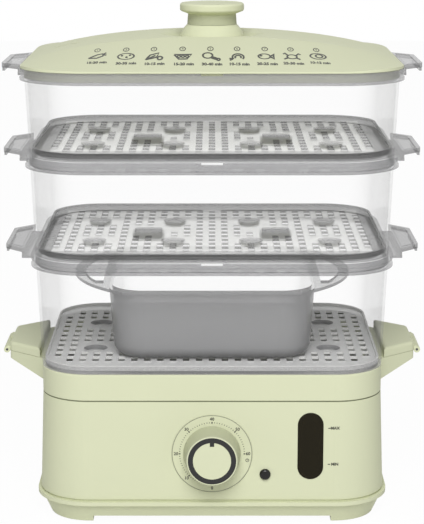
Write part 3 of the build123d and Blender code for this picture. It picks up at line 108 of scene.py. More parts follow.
# How much of the light each clear zone stops, square on and along its edges, and how sharply
# the second takes over from the first
EDGE_BLEND = 0.5
EDGE_POWER = 2.0
DENSITY = {
    "basket_wall": (0.004, 0.22),
    "far_rim": (0.12, 0.45),
    "near_rim": (0.4, 0.55),
    "near_top_rim": (0.5, 0.55),
    "handle": (0.22, 0.6),
    "handle_edge_shade": (0.4, 0.6),
    "skirt": (0.06, 0.3),
    "near_ledge_shade": (0.5, 0.65),
    "tray_plate": (0.2, 0.3),
    "tray_border_shade": (0.4, 0.5),
    "tray_hole_shade": (0.45, 0.6),
    "lower_plate": (0.35, 0.75),
    "lower_cup_shade": (0.7, 0.8),
    "lower_hole": (0.9, 0.95),
    "bowl_inside": (0.01, 0.2),
    "bowl_rim": (0.12, 0.34),
    "bowl_frost": (0.8, 0.9),
    "window": (0.96, 0.98),
}

# Roughness and specular level of the finishes that are made one by one
SAGE_SPECULAR = 0.06
CLEAR_ROUGHNESS, CLEAR_SPECULAR = 0.12, 0.2
TRAY_ROUGHNESS, TRAY_SPECULAR = 0.3, 0.1
SMOKE_ROUGHNESS = 0.4
BOWL_ROUGHNESS = 0.15
WINDOW_BROWN = (0.018, 0.015, 0.008)
WINDOW_ROUGHNESS, WINDOW_SPECULAR = 0.15, 0.08
INK_ROUGHNESS = 0.5

# Plain finishes: name, colour, roughness, other values and the solids that have them
PLAIN_FINISHES = (
    (
        "black_gloss", (0.012, 0.012, 0.012), 0.28, {},
        ("knob_ring", "cord_gland", "gland_nut"),
    ),
    ("lamp_dark", (0.008, 0.007, 0.006), 0.12, {"specular": 0.35, "Grain": 0.0}, ("lamp_lens",)),
    (
        "foot_rubber", (0.02, 0.02, 0.02), 0.75, {"Grain": 0.3, "Grain_scale": 700.0},
        ("foot_pads",),
    ),
    ("seal_silicone", (0.55, 0.54, 0.5), 0.55, {"Grain": 0.15}, ("heater_seal", "window_seal")),
    (
        "screw_steel", (0.55, 0.55, 0.56), 0.3, {"metallic": 1.0, "Unevenness": 0.2},
        (
            "base_screws", "heater_screws", "timer_screws", "lid_screw",
            "timer_shaft", "heater_clamp",
        ),
    ),
    (
        "pin_steel", (0.1, 0.1, 0.1), 0.4, {"metallic": 1.0},
        ("left_hinge_pin", "right_hinge_pin"),
    ),
    (
        "heater_cast", (0.6, 0.6, 0.61), 0.45, {"metallic": 1.0, "Grain": 0.25, "Shade": 0.2},
        ("heating_element",),
    ),
    ("cut_out_ceramic", (0.75, 0.74, 0.69), 0.4, {"Grain": 0.15}, ("thermostat", "thermal_fuse")),
    (
        "inner_nylon", (0.6, 0.6, 0.55), 0.45, {"Grain": 0.12},
        ("timer_body", "lamp_holder", "terminal_block"),
    ),
)

# Dial print: 0 is at the bottom, and the minutes run clockwise. Width and length of the ticks
DIAL_START = math.radians(-90)
DIAL_SWEEP = math.radians(270)
MINUTE_TICK = (0.0009, 0.0004)
TEN_TICK = (0.0014, 0.0009)
NUMBER_WEIGHT = 0.00008
CLOCK_INWARD = 0.0006
CLOCK_DROP = 0.0052
CLOCK_RADIUS = 0.0012
CLOCK_LINE = 0.0004
CLOCK_HANDS = (0.0008, 0.0007)
HAND_LINE = 0.0003
OUTER_LINE = 0.0005
OUTER_LINE_COLOUR = (0.25, 0.26, 0.18)

# Level print: heights, and where its ticks and words stand
LEVELS = (("MAX", 0.0783), ("MIN", 0.0495))
LEVEL_TICK_X = 0.0896
LEVEL_TICK = (0.0018, 0.0007)
LEVEL_WORD_X = 0.0940
LEVEL_WORD_SIZE = 0.0031
LEVEL_WEIGHT = 0.00012

# Lid guide: drawn longer than wide because the slope is seen flat. Places from a sign's middle
GUIDE_STRETCH = 2.0
COUNT_PLACE = (-0.0005, 0.0165)
COUNT_RADIUS = 0.0021
COUNT_LINE = 0.0007
COUNT_SIZE = 0.0030
MINUTES_PLACE = (0.0007, -0.0165)
MINUTES_SIZE = 0.0037
MINUTES_WEIGHT = 0.0002
DROP_HEIGHT = 0.1

# Studio
FLOOR_HALF = 4.0
FLOOR_GREY = 0.9
FLOOR_ROUGHNESS = 0.9
FLOOR_GLOW = 0.97
SENSOR_WIDTH = 36.0
CLIP = (0.05, 50.0)
WHITE = (1.0, 1.0, 1.0, 1.0)


class SteamerFinish(bpy.types.PropertyGroup):
    """Colours and gloss of the finishes"""

    sage: FloatVectorProperty(
        name="Sage", description="Colour of the base, the lid and the knobs",
        default=(0.69, 0.715, 0.505), subtype="COLOR", size=3, min=0, max=1,
    )
    # Painted shade: a dark band of colour at the joint under the upper band, where shade falls
    groove: FloatVectorProperty(
        name="Groove", description="Colour of the groove under the upper band",
        default=(0.22, 0.235, 0.15), subtype="COLOR", size=3, min=0, max=1,
    )
    # Painted shade: a darker sage put on the timer knob's side and the lid knob's neck, where
    # shade falls
    shade: FloatVectorProperty(
        name="Shade", description="Colour of the timer knob's side and the lid knob's neck",
        default=(0.49, 0.51, 0.355), subtype="COLOR", size=3, min=0, max=1,
    )
    clear: FloatVectorProperty(
        name="Clear", description="Colour of the clear walls of the baskets",
        default=(0.50, 0.50, 0.50), subtype="COLOR", size=3, min=0, max=1,
    )
    rim: FloatVectorProperty(
        name="Rim", description="Colour of the rims and handles of the baskets",
        default=(0.16, 0.16, 0.165), subtype="COLOR", size=3, min=0, max=1,
    )
    plate: FloatVectorProperty(
        name="Plate", description="Colour of the flat faces of the middle and upper tray",
        default=(0.95, 0.95, 0.92), subtype="COLOR", size=3, min=0, max=1,
    )
    # Painted shade: a dark colour for the walls of the holes in the middle and upper tray
    hole: FloatVectorProperty(
        name="Hole", description="Colour of the upright faces of the middle and upper tray",
        default=(0.16, 0.16, 0.16), subtype="COLOR", size=3, min=0, max=1,
    )
    # Painted shade: a dark colour for the edge band and the cup walls of the middle and upper
    # tray
    border: FloatVectorProperty(
        name="Border", description="Colour of the border of the middle and upper tray",
        default=(0.26, 0.26, 0.26), subtype="COLOR", size=3, min=0, max=1,
    )
    smoke: FloatVectorProperty(
        name="Smoke", description="Colour of the lower tray",
        default=(0.93, 0.93, 0.925), subtype="COLOR", size=3, min=0, max=1,
    )
    drip: FloatVectorProperty(
        name="Drip tray", description="Colour of the drip tray and of the lower tray's holes",
        default=(0.85, 0.85, 0.83), subtype="COLOR", size=3, min=0, max=1,
    )
    # Besides the rice bowl's frosted outside and the upper basket's rim, this colour is painted
    # shade on the lower tray's cup walls and the lower basket's near ledges
    frost: FloatVectorProperty(
        name="Frost", description="Colour of the outside of the rice bowl",
        default=(0.33, 0.33, 0.333), subtype="COLOR", size=3, min=0, max=1,
    )
    # Painted shade: a near-black colour for the ledges under the trays on the near side and for
    # the handles' upright faces
    ledge: FloatVectorProperty(
        name="Ledge", description="Colour of the ledges that the trays lie on",
        default=(0.07, 0.07, 0.07), subtype="COLOR", size=3, min=0, max=1,
    )
    ink: FloatVectorProperty(
        name="Ink", description="Colour of the printed marks",
        default=(0.035, 0.037, 0.028), subtype="COLOR", size=3, min=0, max=1,
    )
    satin: FloatProperty(
        name="Satin", description="Roughness of the sage plastic",
        default=0.5, subtype="FACTOR", min=0, max=1,
    )


class SteamerMarks(bpy.types.PropertyGroup):
    """Sizes of the printed marks"""

    tick_radius: FloatProperty(
        name="Tick circle", description="Radius of the minute ticks",
        default=0.0248, unit="LENGTH",
    )
    number_radius: FloatProperty(
        name="Number circle", description="Radius of the dial numbers",
        default=0.0276, unit="LENGTH",
    )
    number_size: FloatProperty(
        name="Number height", description="Size of the dial numbers",
        default=0.0034, unit="LENGTH",
    )
    line_radius: FloatProperty(
        name="Outer line", description="Radius of the line round the dial",
        default=0.0305, unit="LENGTH",
    )
    tens: IntProperty(
        name="Tens of minutes", description="Numbers on the dial after 0", default=6, min=1,
    )
    line: FloatProperty(
        name="Line width", description="Width of the lines on the lid",
        default=0.0014, unit="LENGTH",
    )


class SteamerStage(bpy.types.PropertyGroup):
    """Camera and lamps"""

    lens: FloatProperty(
        name="Lens", description="Focal length of the camera", default=123.7, unit="CAMERA",
    )
    pitch: FloatProperty(
        name="Pitch", description="How far the camera looks down",
        default=math.radians(12.2), subtype="ANGLE",
    )
    camera: FloatVectorProperty(
        name="Camera", description="Place of the camera",
        default=(0.0, -1.421, 0.4925), subtype="TRANSLATION", size=3,
    )
    lamp: FloatVectorProperty(
        name="Lamp", description="Place of the front softbox",
        default=(0.0, -1.70, 1.68), subtype="TRANSLATION", size=3,
    )
    lamp_aim: FloatVectorProperty(
        name="Lamp aim", description="Point that the front softbox looks at",
        default=(0.0, 0.0, 0.2), subtype="TRANSLATION", size=3,
    )
    lamp_size: FloatProperty(
        name="Lamp size", description="Side of the front softbox", default=1.2, unit="LENGTH",
    )
    front: FloatProperty(
        name="Front lamp", description="Power of the front softbox", default=39.5, unit="POWER",
    )
    ambient: FloatProperty(
        name="Ambient", description="Strength of the light from all round", default=0.30, min=0,
    )


# Shared effects, as node groups


def new_group(name, inputs, outputs):
    """Empty node group with its sockets; returns it with its input and output nodes."""
    group = bpy.data.node_groups.new(name, "ShaderNodeTree")
    for label, kind, value in inputs:
        socket = group.interface.new_socket(name=label, in_out="INPUT", socket_type=kind)
        socket.default_value = value
    for label, kind in outputs:
        group.interface.new_socket(name=label, in_out="OUTPUT", socket_type=kind)
    return group, group.nodes.new("NodeGroupInput"), group.nodes.new("NodeGroupOutput")


def calculate(tree, operation, *values, clamp=False):
    """Math node whose inputs are sockets or plain values; returns its output."""
    node = tree.nodes.new("ShaderNodeMath")
    node.operation = operation
    node.use_clamp = clamp
    for socket, value in zip(node.inputs, values):
        if isinstance(value, bpy.types.NodeSocket):
            tree.links.new(value, socket)
        else:
            socket.default_value = value
    return node.outputs[0]


def split_place(tree, source):
    """X, Y and Z of an object coordinate or an object normal."""
    place = tree.nodes.new("ShaderNodeTexCoord")
    parts = tree.nodes.new("ShaderNodeSeparateXYZ")
    tree.links.new(place.outputs[source], parts.inputs[0])
    return parts.outputs


def moulded_group():
    """Moulded surface: uneven gloss, a fine grain and a very slight change of shade."""
    group, given, out = new_group(
        "moulded_surface",
        (
            ("Color", "NodeSocketColor", (0.5, 0.5, 0.5, 1.0)),
            ("Shade", "NodeSocketFloat", 0.03),
            ("Roughness", "NodeSocketFloat", 0.36),
            ("Unevenness", "NodeSocketFloat", 0.08),
            ("Grain scale", "NodeSocketFloat", 1400.0),
            ("Grain", "NodeSocketFloat", 0.05),
        ),
        (
            ("Color", "NodeSocketColor"),
            ("Roughness", "NodeSocketFloat"),
            ("Normal", "NodeSocketVector"),
        ),
    )
    nodes, links = group.nodes, group.links
    place = nodes.new("ShaderNodeTexCoord")
    patches = nodes.new("ShaderNodeTexNoise")
    patches.inputs["Scale"].default_value = PATCH_SCALE
    patches.inputs["Detail"].default_value = PATCH_DETAIL
    grain = nodes.new("ShaderNodeTexNoise")
    grain.inputs["Detail"].default_value = GRAIN_DETAIL
    links.new(place.outputs["Object"], patches.inputs["Vector"])
    links.new(place.outputs["Object"], grain.inputs["Vector"])
    links.new(given.outputs["Grain scale"], grain.inputs["Scale"])
    centred = calculate(group, "SUBTRACT", patches.outputs[0], 0.5)
    tint = nodes.new("ShaderNodeVectorMath")
    tint.operation = "SCALE"
    shade = calculate(group, "MULTIPLY_ADD", centred, given.outputs["Shade"], 1.0)
    links.new(given.outputs["Color"], tint.inputs[0])
    links.new(shade, tint.inputs["Scale"])
    unevenness, roughness = given.outputs["Unevenness"], given.outputs["Roughness"]
    gloss = calculate(group, "MULTIPLY_ADD", centred, unevenness, roughness)
    bump = nodes.new("ShaderNodeBump")
    bump.inputs["Distance"].default_value = GRAIN_DEPTH
    links.new(given.outputs["Grain"], bump.inputs["Strength"])
    links.new(grain.outputs[0], bump.inputs["Height"])
    links.new(tint.outputs[0], out.inputs["Color"])
    links.new(gloss, out.inputs["Roughness"])
    links.new(bump.outputs[0], out.inputs["Normal"])


def height_group():
    """Mask that is 1 between two heights of the object."""
    group, given, out = new_group(
        "height_band",
        (
            ("Low", "NodeSocketFloat", 0.0),
            ("High", "NodeSocketFloat", 1.0),
            ("Blur", "NodeSocketFloat", 0.001),
        ),
        (("Mask", "NodeSocketFloat"),),
    )
    height = split_place(group, "Object")[2]
    ends = []
    for rise in (
        calculate(group, "SUBTRACT", height, given.outputs["Low"]),
        calculate(group, "SUBTRACT", given.outputs["High"], height),
    ):
        ends.append(calculate(group, "DIVIDE", rise, given.outputs["Blur"], clamp=True))
    group.links.new(calculate(group, "MINIMUM", *ends), out.inputs["Mask"])


def outside_group():
    """Mask that is 1 on faces that look away from the upright axis of the object.

    A face that is seen from behind counts as turned round, so both faces of a near wall are
    marked and neither face of a far one.
    """
    group, _, out = new_group("outside", (), (("Mask", "NodeSocketFloat"),))
    normal = split_place(group, "Normal")
    place = split_place(group, "Object")
    across = calculate(group, "MULTIPLY", normal[0], place[0])
    away = calculate(group, "MULTIPLY_ADD", normal[1], place[1], across)
    group.links.new(calculate(group, "GREATER_THAN", away, OUTSIDE_LEAN), out.inputs["Mask"])


def zones_group():
    """Masks: upright faces, steep faces, and what lies outside a rectangle seen from above."""
    group, given, out = new_group(
        "zones",
        (
            ("Half width", "NodeSocketFloat", FIELD_HALF_WIDTH),
            ("Half depth", "NodeSocketFloat", FIELD_HALF_DEPTH),
        ),
        (
            ("Upright", "NodeSocketFloat"),
            ("Steep", "NodeSocketFloat"),
            ("Border", "NodeSocketFloat"),
        ),
    )
    level = calculate(group, "ABSOLUTE", split_place(group, "Normal")[2])
    for label, limit in (("Upright", UPRIGHT_LEVEL), ("Steep", STEEP_LEVEL)):
        group.links.new(calculate(group, "LESS_THAN", level, limit), out.inputs[label])
    place = split_place(group, "Object")
    shares = []
    for part, half in ((place[0], "Half width"), (place[1], "Half depth")):
        distance = calculate(group, "ABSOLUTE", part)
        shares.append(calculate(group, "DIVIDE", distance, given.outputs[half]))
    outer = calculate(group, "MAXIMUM", *shares)
    group.links.new(calculate(group, "GREATER_THAN", outer, 1.0), out.inputs["Border"])


GROUP_BUILDERS = {
    "moulded_surface": moulded_group,
    "height_band": height_group,
    "outside": outside_group,
    "zones": zones_group,
}


# Finishes


def add_group(material, name, values):
    """Places a shared effect in a finish, built when it is first used; returns its node."""
    if name not in bpy.data.node_groups:
        GROUP_BUILDERS[name]()
    node = material.node_tree.nodes.new("ShaderNodeGroup")
    node.node_tree = bpy.data.node_groups[name]
    for key, value in values.items():
        node.inputs[key.replace("_", " ")].default_value = value
    return node


def moulded(name, colour, roughness, metallic=0.0, specular=0.5, **values):
    """Opaque finish with the moulded surface."""
    material = bpy.data.materials.new(name)
    material.use_nodes = True
    tree = material.node_tree
    shader = tree.nodes["Principled BSDF"]
    shader.inputs["Metallic"].default_value = metallic
    shader.inputs["Specular IOR Level"].default_value = specular
    values.update(Color=(*colour, 1.0), Roughness=roughness)
    surface = add_group(material, "moulded_surface", values)
    tree.links.new(surface.outputs["Color"], shader.inputs["Base Color"])
    tree.links.new(surface.outputs["Roughness"], shader.inputs["Roughness"])
    tree.links.new(surface.outputs["Normal"], shader.inputs["Normal"])
    return material


def density(tree, zone):
    """How much of the light a clear zone stops: little square on, more along its edges."""
    square_on, edge = DENSITY[zone]
    facing = tree.nodes.new("ShaderNodeLayerWeight")
    facing.inputs["Blend"].default_value = EDGE_BLEND
    sharper = calculate(tree, "POWER", facing.outputs["Facing"], EDGE_POWER)
    return calculate(tree, "MULTIPLY_ADD", sharper, edge - square_on, square_on)


def see_through(name, colour, roughness, zone, **values):
    """Clear finish with the moulded surface."""
    material = moulded(name, colour, roughness, **values)
    tree = material.node_tree
    tree.links.new(density(tree, zone), tree.nodes["Principled BSDF"].inputs["Alpha"])
    return material


def masks(material, group, **values):
    """Adds a mask group to a finish and returns its outputs."""
    return add_group(material, group, values).outputs


def band(material, low, high, blur=BAND_BLUR):
    """Mask of a finish that is 1 between two heights."""
    return masks(material, "height_band", Low=low, High=high, Blur=blur)["Mask"]


def overlap(material, first, second):
    """Mask of a finish that is 1 where two masks are."""
    return calculate(material.node_tree, "MULTIPLY", first, second)


def blend(material, mask, name, kind):
    """Mix node before a socket of the shader; returns the input that shows where a mask is 1."""
    tree = material.node_tree
    target = tree.nodes["Principled BSDF"].inputs[name]
    mix = tree.nodes.new("ShaderNodeMix")
    mix.data_type = kind
    first, second, result = MIX_SOCKETS[kind]
    tree.links.new(mask, mix.inputs[0])
    tree.links.new(target.links[0].from_socket, mix.inputs[first])
    tree.links.new(mix.outputs[result], target)
    return mix.inputs[second]


def recolour(material, mask, colour):
    """Gives a finish another colour where a mask is 1."""
    blend(material, mask, "Base Color", "RGBA").default_value = (*colour, 1.0)


def thicken(material, mask, colour, zone):
    """Gives a clear finish the colour and density of a zone where a mask is 1."""
    recolour(material, mask, colour)
    tree = material.node_tree
    tree.links.new(density(tree, zone), blend(material, mask, "Alpha", "FLOAT"))


def give(material, *names):
    """Puts a finish on solids."""
    for name in names:
        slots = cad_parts[name].data.materials
        slots.clear()
        slots.append(material)


def heights(name):
    """Lowest and highest point of a solid."""
    low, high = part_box(name)
    return low[2], high[2]


# Printed marks are drawn flat and then laid on the solid that carries them


def draw_dot(bm, centre, radius):
    """Filled dot."""
    place = Matrix.Translation((*centre, 0))
    bmesh.ops.create_circle(bm, cap_ends=True, segments=12, radius=radius, matrix=place)


def draw_bar(bm, centre, size, turn=0.0):
    """Filled bar of a width and a length."""
    place = Matrix.Translation((*centre, 0)) @ Matrix.Rotation(turn, 4, "Z")
    shape = place @ Matrix.Diagonal((*size, 1, 1))
    bmesh.ops.create_grid(bm, x_segments=1, y_segments=1, size=0.5, matrix=shape)


def draw_ring(bm, centre, radius, width, stretch=1.0, start=0.0, sweep=math.tau, steps=32):
    """Ring, or an arc of one, spun from a short edge and stretched along y."""
    way = Vector((math.cos(start), math.sin(start), 0))
    before = set(bm.verts)
    ends = [bm.verts.new(way * (radius - width / 2)), bm.verts.new(way * (radius + width / 2))]
    edge = bm.edges.new(ends)
    bmesh.ops.spin(
        bm, geom=[*ends, edge], cent=(0, 0, 0), axis=(0, 0, 1), angle=sweep, steps=steps,
        use_merge=sweep == math.tau,
    )
    fresh = [vert for vert in bm.verts if vert not in before]
    place = Matrix.Translation((*centre, 0)) @ Matrix.Diagonal((1, stretch, 1, 1))
    bmesh.ops.transform(bm, matrix=place, verts=fresh)


def draw_line(bm, points, width):
    """Line of one width, pulled from a short edge along flat points."""
    spots = [Vector((*point, 0)) for point in points]
    last = len(spots) - 1
    edge = None
    for index, spot in enumerate(spots):
        way = (spots[min(index + 1, last)] - spots[max(index - 1, 0)]).normalized()
        side = Vector((-way.y, way.x, 0)) * width / 2
        if edge is None:
            left = bm.verts.new(spot + side)
            edge = bm.edges.new((left, bm.verts.new(spot - side)))
            continue
        pulled = bmesh.ops.extrude_edge_only(bm, edges=[edge])["geom"]
        edge = next(item for item in pulled if isinstance(item, bmesh.types.BMEdge))
        left = min(edge.verts, key=lambda vert: (vert.co - left.co).length)
        edge.other_vert(left).co = spot - side
        left.co = spot + side


def draw_words(bm, words, size, centre, stretch=1.0, weight=0.0):
    """Words in the plain built-in letters, thickened by a weight."""
    curve = bpy.data.curves.new("lettering", "FONT")
    curve.offset = weight
    curve.body = words
    curve.size = size
    curve.align_x = "CENTER"
    curve.align_y = "CENTER"
    curve.resolution_u = 3
    holder = bpy.data.objects.new("lettering", curve)
    mesh = bpy.data.meshes.new_from_object(holder)
    mesh.transform(Matrix.Translation((*centre, 0)) @ Matrix.Diagonal((1, stretch, 1, 1)))
    bm.from_mesh(mesh)
    bpy.data.meshes.remove(mesh)
    bpy.data.objects.remove(holder)
    bpy.data.curves.remove(curve)


def face_up(bm):
    """Turns the faces of a flat drawing upwards."""
    bm.normal_update()
    turned = [face for face in bm.faces if face.normal.z < 0]
    bmesh.ops.reverse_faces(bm, faces=turned)


def lay_upright(bm, x, y, z):
    """Puts a flat drawing on an upright face that looks towards the user."""
    face_up(bm)
    place = Matrix.Translation((x, y - INK_LIFT, z)) @ UPRIGHT
    bmesh.ops.transform(bm, matrix=place, verts=bm.verts)


def make_piece(name, bm, material, body):
    """Turns a drawing into a piece that rides on a body."""
    mesh = bpy.data.meshes.new(name)
    bm.to_mesh(mesh)
    bm.free()
    mesh.materials.append(material)
    piece = bpy.data.objects.new(name, mesh)
    bpy.context.scene.collection.objects.link(piece)
    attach(piece, body)


# Small signs for kinds of food, each drawn in a box 13 mm wide and 9 mm high


def sign_root(bm, line):
    outline = (
        (-0.006, -0.002), (0.0, 0.002), (0.004, 0.003), (0.0045, 0.0), (0.0, -0.0025),
        (-0.006, -0.002),
    )
    draw_line(bm, outline, line)
    draw_line(bm, ((0.0042, 0.0018), (0.0066, 0.004)), line)
    draw_line(bm, ((0.0042, 0.0012), (0.007, 0.001)), line)


def sign_tuber(bm, line):
    draw_ring(bm, (0, 0), 0.006, line, stretch=0.6)
    for spot in ((-0.003, 0.001), (0.0005, -0.001), (0.003, 0.0012)):
        draw_dot(bm, spot, line * 0.7)


def sign_leaf(bm, line):
    outline = (
        (-0.006, -0.0035), (-0.003, 0.0015), (0.0035, 0.0038), (0.002, -0.001),
        (-0.006, -0.0035),
    )
    draw_line(bm, outline, line)
    draw_line(bm, ((-0.006, -0.0035), (0.001, 0.001)), line)
    draw_ring(bm, (0.0045, -0.002), 0.0018, line, steps=16)


def sign_pod(bm, line):
    outline = (
        (-0.0065, 0.002), (-0.003, -0.0028), (0.003, -0.0028), (0.0065, 0.002),
        (-0.0065, 0.002),
    )
    draw_line(bm, outline, line)
    for x in (-0.003, 0.0, 0.003):
        draw_ring(bm, (x, 0.0), 0.0011, line * 0.8, steps=12)


def sign_drumstick(bm, line):
    draw_ring(bm, (-0.0025, 0.001), 0.0036, line, stretch=0.8)
    draw_line(bm, ((0.0005, -0.001), (0.0045, -0.0028)), line * 2)
    draw_ring(bm, (0.0055, -0.0032), 0.0011, line, steps=12)


def sign_curl(bm, line):
    for radius in (0.0022, 0.0042):
        draw_ring(bm, (0, -0.0008), radius, line, stretch=0.85, start=-0.6, sweep=4.4)
    draw_line(bm, ((-0.0042, -0.003), (-0.0064, -0.002)), line)
    draw_line(bm, ((-0.0042, -0.003), (-0.0062, -0.0042)), line)


def sign_fish(bm, line):
    draw_ring(bm, (-0.0012, 0), 0.0044, line, stretch=0.62)
    tail = ((0.003, 0.0), (0.0064, 0.0028), (0.0056, 0.0), (0.0064, -0.0028), (0.003, 0.0))
    draw_line(bm, tail, line)
    draw_dot(bm, (-0.0036, 0.0007), line * 0.7)


def sign_crab(bm, line):
    draw_ring(bm, (0, -0.0005), 0.0036, line, stretch=0.65)
    for side in (-1, 1):
        claw = ((side * 0.003, 0.001), (side * 0.0052, 0.0034), (side * 0.0064, 0.0022))
        draw_line(bm, claw, line)
        draw_line(bm, ((side * 0.003, -0.0018), (side * 0.006, -0.0034)), line)


def sign_egg(bm, line):
    draw_ring(bm, (0, 0), 0.0058, line, stretch=0.62)
    draw_ring(bm, (0.0008, 0.0003), 0.0026, line, stretch=0.75, steps=20)


class STEAMER_OT_sage_parts(bpy.types.Operator):
    """Gives the base, the lid, the covers and the knobs their sage finish, some with painted
    shade
    """

    bl_idname = "steamer.sage_parts"
    bl_label = "Finish the sage parts"

    def execute(self, context):
        look = context.scene.steamer_finish
        satin = self.sage("sage_satin", look)
        give(satin, "base_plate", "water_tank", "lid", "dial_plate")
        give(satin, "left_inlet_cover", "right_inlet_cover")
        shell = self.sage("sage_shell_painted_groove", look)
        # Painted shade: a thin dark band at the joint of the housing and the upper band stands in
        # for the shadow there
        seam_shade = band(shell, SEAM_Z - SEAM_HALF, SEAM_Z + SEAM_HALF, SHARP_BLUR)
        recolour(shell, seam_shade, look.groove)
        give(shell, "base_housing", "rear_panel", "upper_band")
        dial = self.sage("sage_knob_painted_shade", look)
        tree = dial.node_tree
        # Painted shade: the side faces of the timer knob get a darker sage as shade
        facing = calculate(tree, "ABSOLUTE", split_place(tree, "Normal")[1])
        recolour(dial, calculate(tree, "LESS_THAN", facing, KNOB_SIDE_LEAN), look.shade)
        give(dial, "timer_knob")
        grip = self.sage("sage_neck_painted_shade", look)
        low, high = heights("lid_knob")
        # Painted shade: the lid knob below its cap gets a darker sage as shade, fading out just
        # under the cap
        recolour(grip, band(grip, low - GRIP_FADE, high - GRIP_CAP, GRIP_FADE), look.shade)
        give(grip, "lid_knob")
        return {"FINISHED"}

    def sage(self, name, look):
        """New sage finish."""
        return moulded(name, look.sage, look.satin, specular=SAGE_SPECULAR)


class STEAMER_OT_baskets(bpy.types.Operator):
    """Gives the baskets clear walls with denser rims, handles, skirts and ledges; dark ledges and
    handle sides are painted shade
    """

    bl_idname = "steamer.baskets"
    bl_label = "Finish the baskets"

    def execute(self, context):
        look = context.scene.steamer_finish
        # The last colour given for each tier is painted shade on its near ledges
        self.finish(look, "lower", look.rim, "near_rim", look.frost)
        self.finish(look, "middle", look.rim, "near_rim", look.ledge)
        self.finish(look, "upper", look.frost, "near_top_rim", look.ledge)
        return {"FINISHED"}

    def finish(self, look, tier, rim_colour, rim_zone, ledge_shade_colour):
        """Finish of one tier, with rim and ledge denser where the outside mask is 1."""
        basket = see_through(
            f"basket_{tier}_clear", look.clear, CLEAR_ROUGHNESS, "basket_wall",
            specular=CLEAR_SPECULAR, Grain=0.0,
        )
        low, high = heights(f"basket_{tier}")
        tray = heights(f"tray_{tier}")[1]
        outside = masks(basket, "outside")["Mask"]
        rim = band(basket, high - RIM_BAND, high + RIM_BAND)
        thicken(basket, rim, rim_colour, "far_rim")
        thicken(basket, overlap(basket, rim, outside), rim_colour, rim_zone)
        half_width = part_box(f"basket_{tier}")[1][1] + WIDER_THAN_DEEP
        handles = masks(basket, "zones", Half_width=half_width, Half_depth=ANY_DEPTH)
        thicken(basket, handles["Border"], look.rim, "handle")
        # Painted shade: the upright faces of the handles get a near-black colour
        edges = overlap(basket, handles["Border"], handles["Upright"])
        thicken(basket, edges, look.ledge, "handle_edge_shade")
        skirt = band(basket, low - RIM_BAND, tray - LEDGE_UNDER_TRAY)
        thicken(basket, skirt, look.rim, "skirt")
        # Painted shade: a dark band on the near wall, just under each tray, stands in for the
        # shade there
        ledge = band(basket, tray - LEDGE_UNDER_TRAY, tray + LEDGE_OVER_TRAY)
        thicken(basket, overlap(basket, ledge, outside), ledge_shade_colour, "near_ledge_shade")
        give(basket, f"basket_{tier}")


class STEAMER_OT_trays(bpy.types.Operator):
    """Gives the perforated trays and the drip tray their finishes, with painted shade on edges
    and walls
    """

    bl_idname = "steamer.trays"
    bl_label = "Finish the trays"

    def execute(self, context):
        look = context.scene.steamer_finish
        for tier in ("middle", "upper"):
            tray = see_through(
                f"tray_{tier}_clear", look.plate, TRAY_ROUGHNESS, "tray_plate",
                specular=TRAY_SPECULAR,
            )
            zones = masks(tray, "zones")
            # Painted shade: the edge band, the cup walls and the walls of the holes get dark
            # colours as shade
            thicken(tray, zones["Border"], look.border, "tray_border_shade")
            thicken(tray, zones["Steep"], look.border, "tray_border_shade")
            thicken(tray, zones["Upright"], look.hole, "tray_hole_shade")
            give(tray, f"tray_{tier}")
        smoke = see_through(
            "smoke_frost", look.smoke, SMOKE_ROUGHNESS, "lower_plate", specular=TRAY_SPECULAR,
        )
        zones = masks(smoke, "zones")
        # Painted shade: the cup walls of the lower tray get a dark colour as shade
        thicken(smoke, zones["Steep"], look.frost, "lower_cup_shade")
        thicken(smoke, zones["Upright"], look.drip, "lower_hole")
        give(smoke, "tray_lower")
        drip = moulded("drip_smoke", look.drip, SMOKE_ROUGHNESS, specular=TRAY_SPECULAR)
        give(drip, "drip_tray")
        return {"FINISHED"}


class STEAMER_OT_rice_bowl(bpy.types.Operator):
    """Gives the rice bowl its frosted outside, clear inside and thin rim"""

    bl_idname = "steamer.rice_bowl"
    bl_label = "Finish the rice bowl"

    def execute(self, context):
        look = context.scene.steamer_finish
        bowl = see_through(
            "bowl_frost", look.clear, BOWL_ROUGHNESS, "bowl_inside", specular=CLEAR_SPECULAR,
        )
        low, high = heights("rice_bowl")
        floor = band(bowl, 0.0, low + BOWL_FLOOR_BAND, BOWL_FLOOR_BLUR)
        thicken(bowl, floor, look.frost, "bowl_frost")
        rim = band(bowl, high - BOWL_RIM_BAND, high + BOWL_RIM_BAND, SHARP_BLUR)
        thicken(bowl, rim, look.rim, "bowl_rim")
        thicken(bowl, masks(bowl, "outside")["Mask"], look.frost, "bowl_frost")
        give(bowl, "rice_bowl")
        return {"FINISHED"}


class STEAMER_OT_fittings(bpy.types.Operator):
    """Gives the window, the lamp, the rubber, the metal and the inner parts their finishes"""

    bl_idname = "steamer.fittings"
    bl_label = "Finish the fittings"

    def execute(self, context):
        window = see_through(
            "window_brown", WINDOW_BROWN, WINDOW_ROUGHNESS, "window", specular=WINDOW_SPECULAR,
        )
        give(window, "level_window")
        for name, colour, roughness, values, solids in PLAIN_FINISHES:
            give(moulded(name, colour, roughness, **values), *solids)
        return {"FINISHED"}


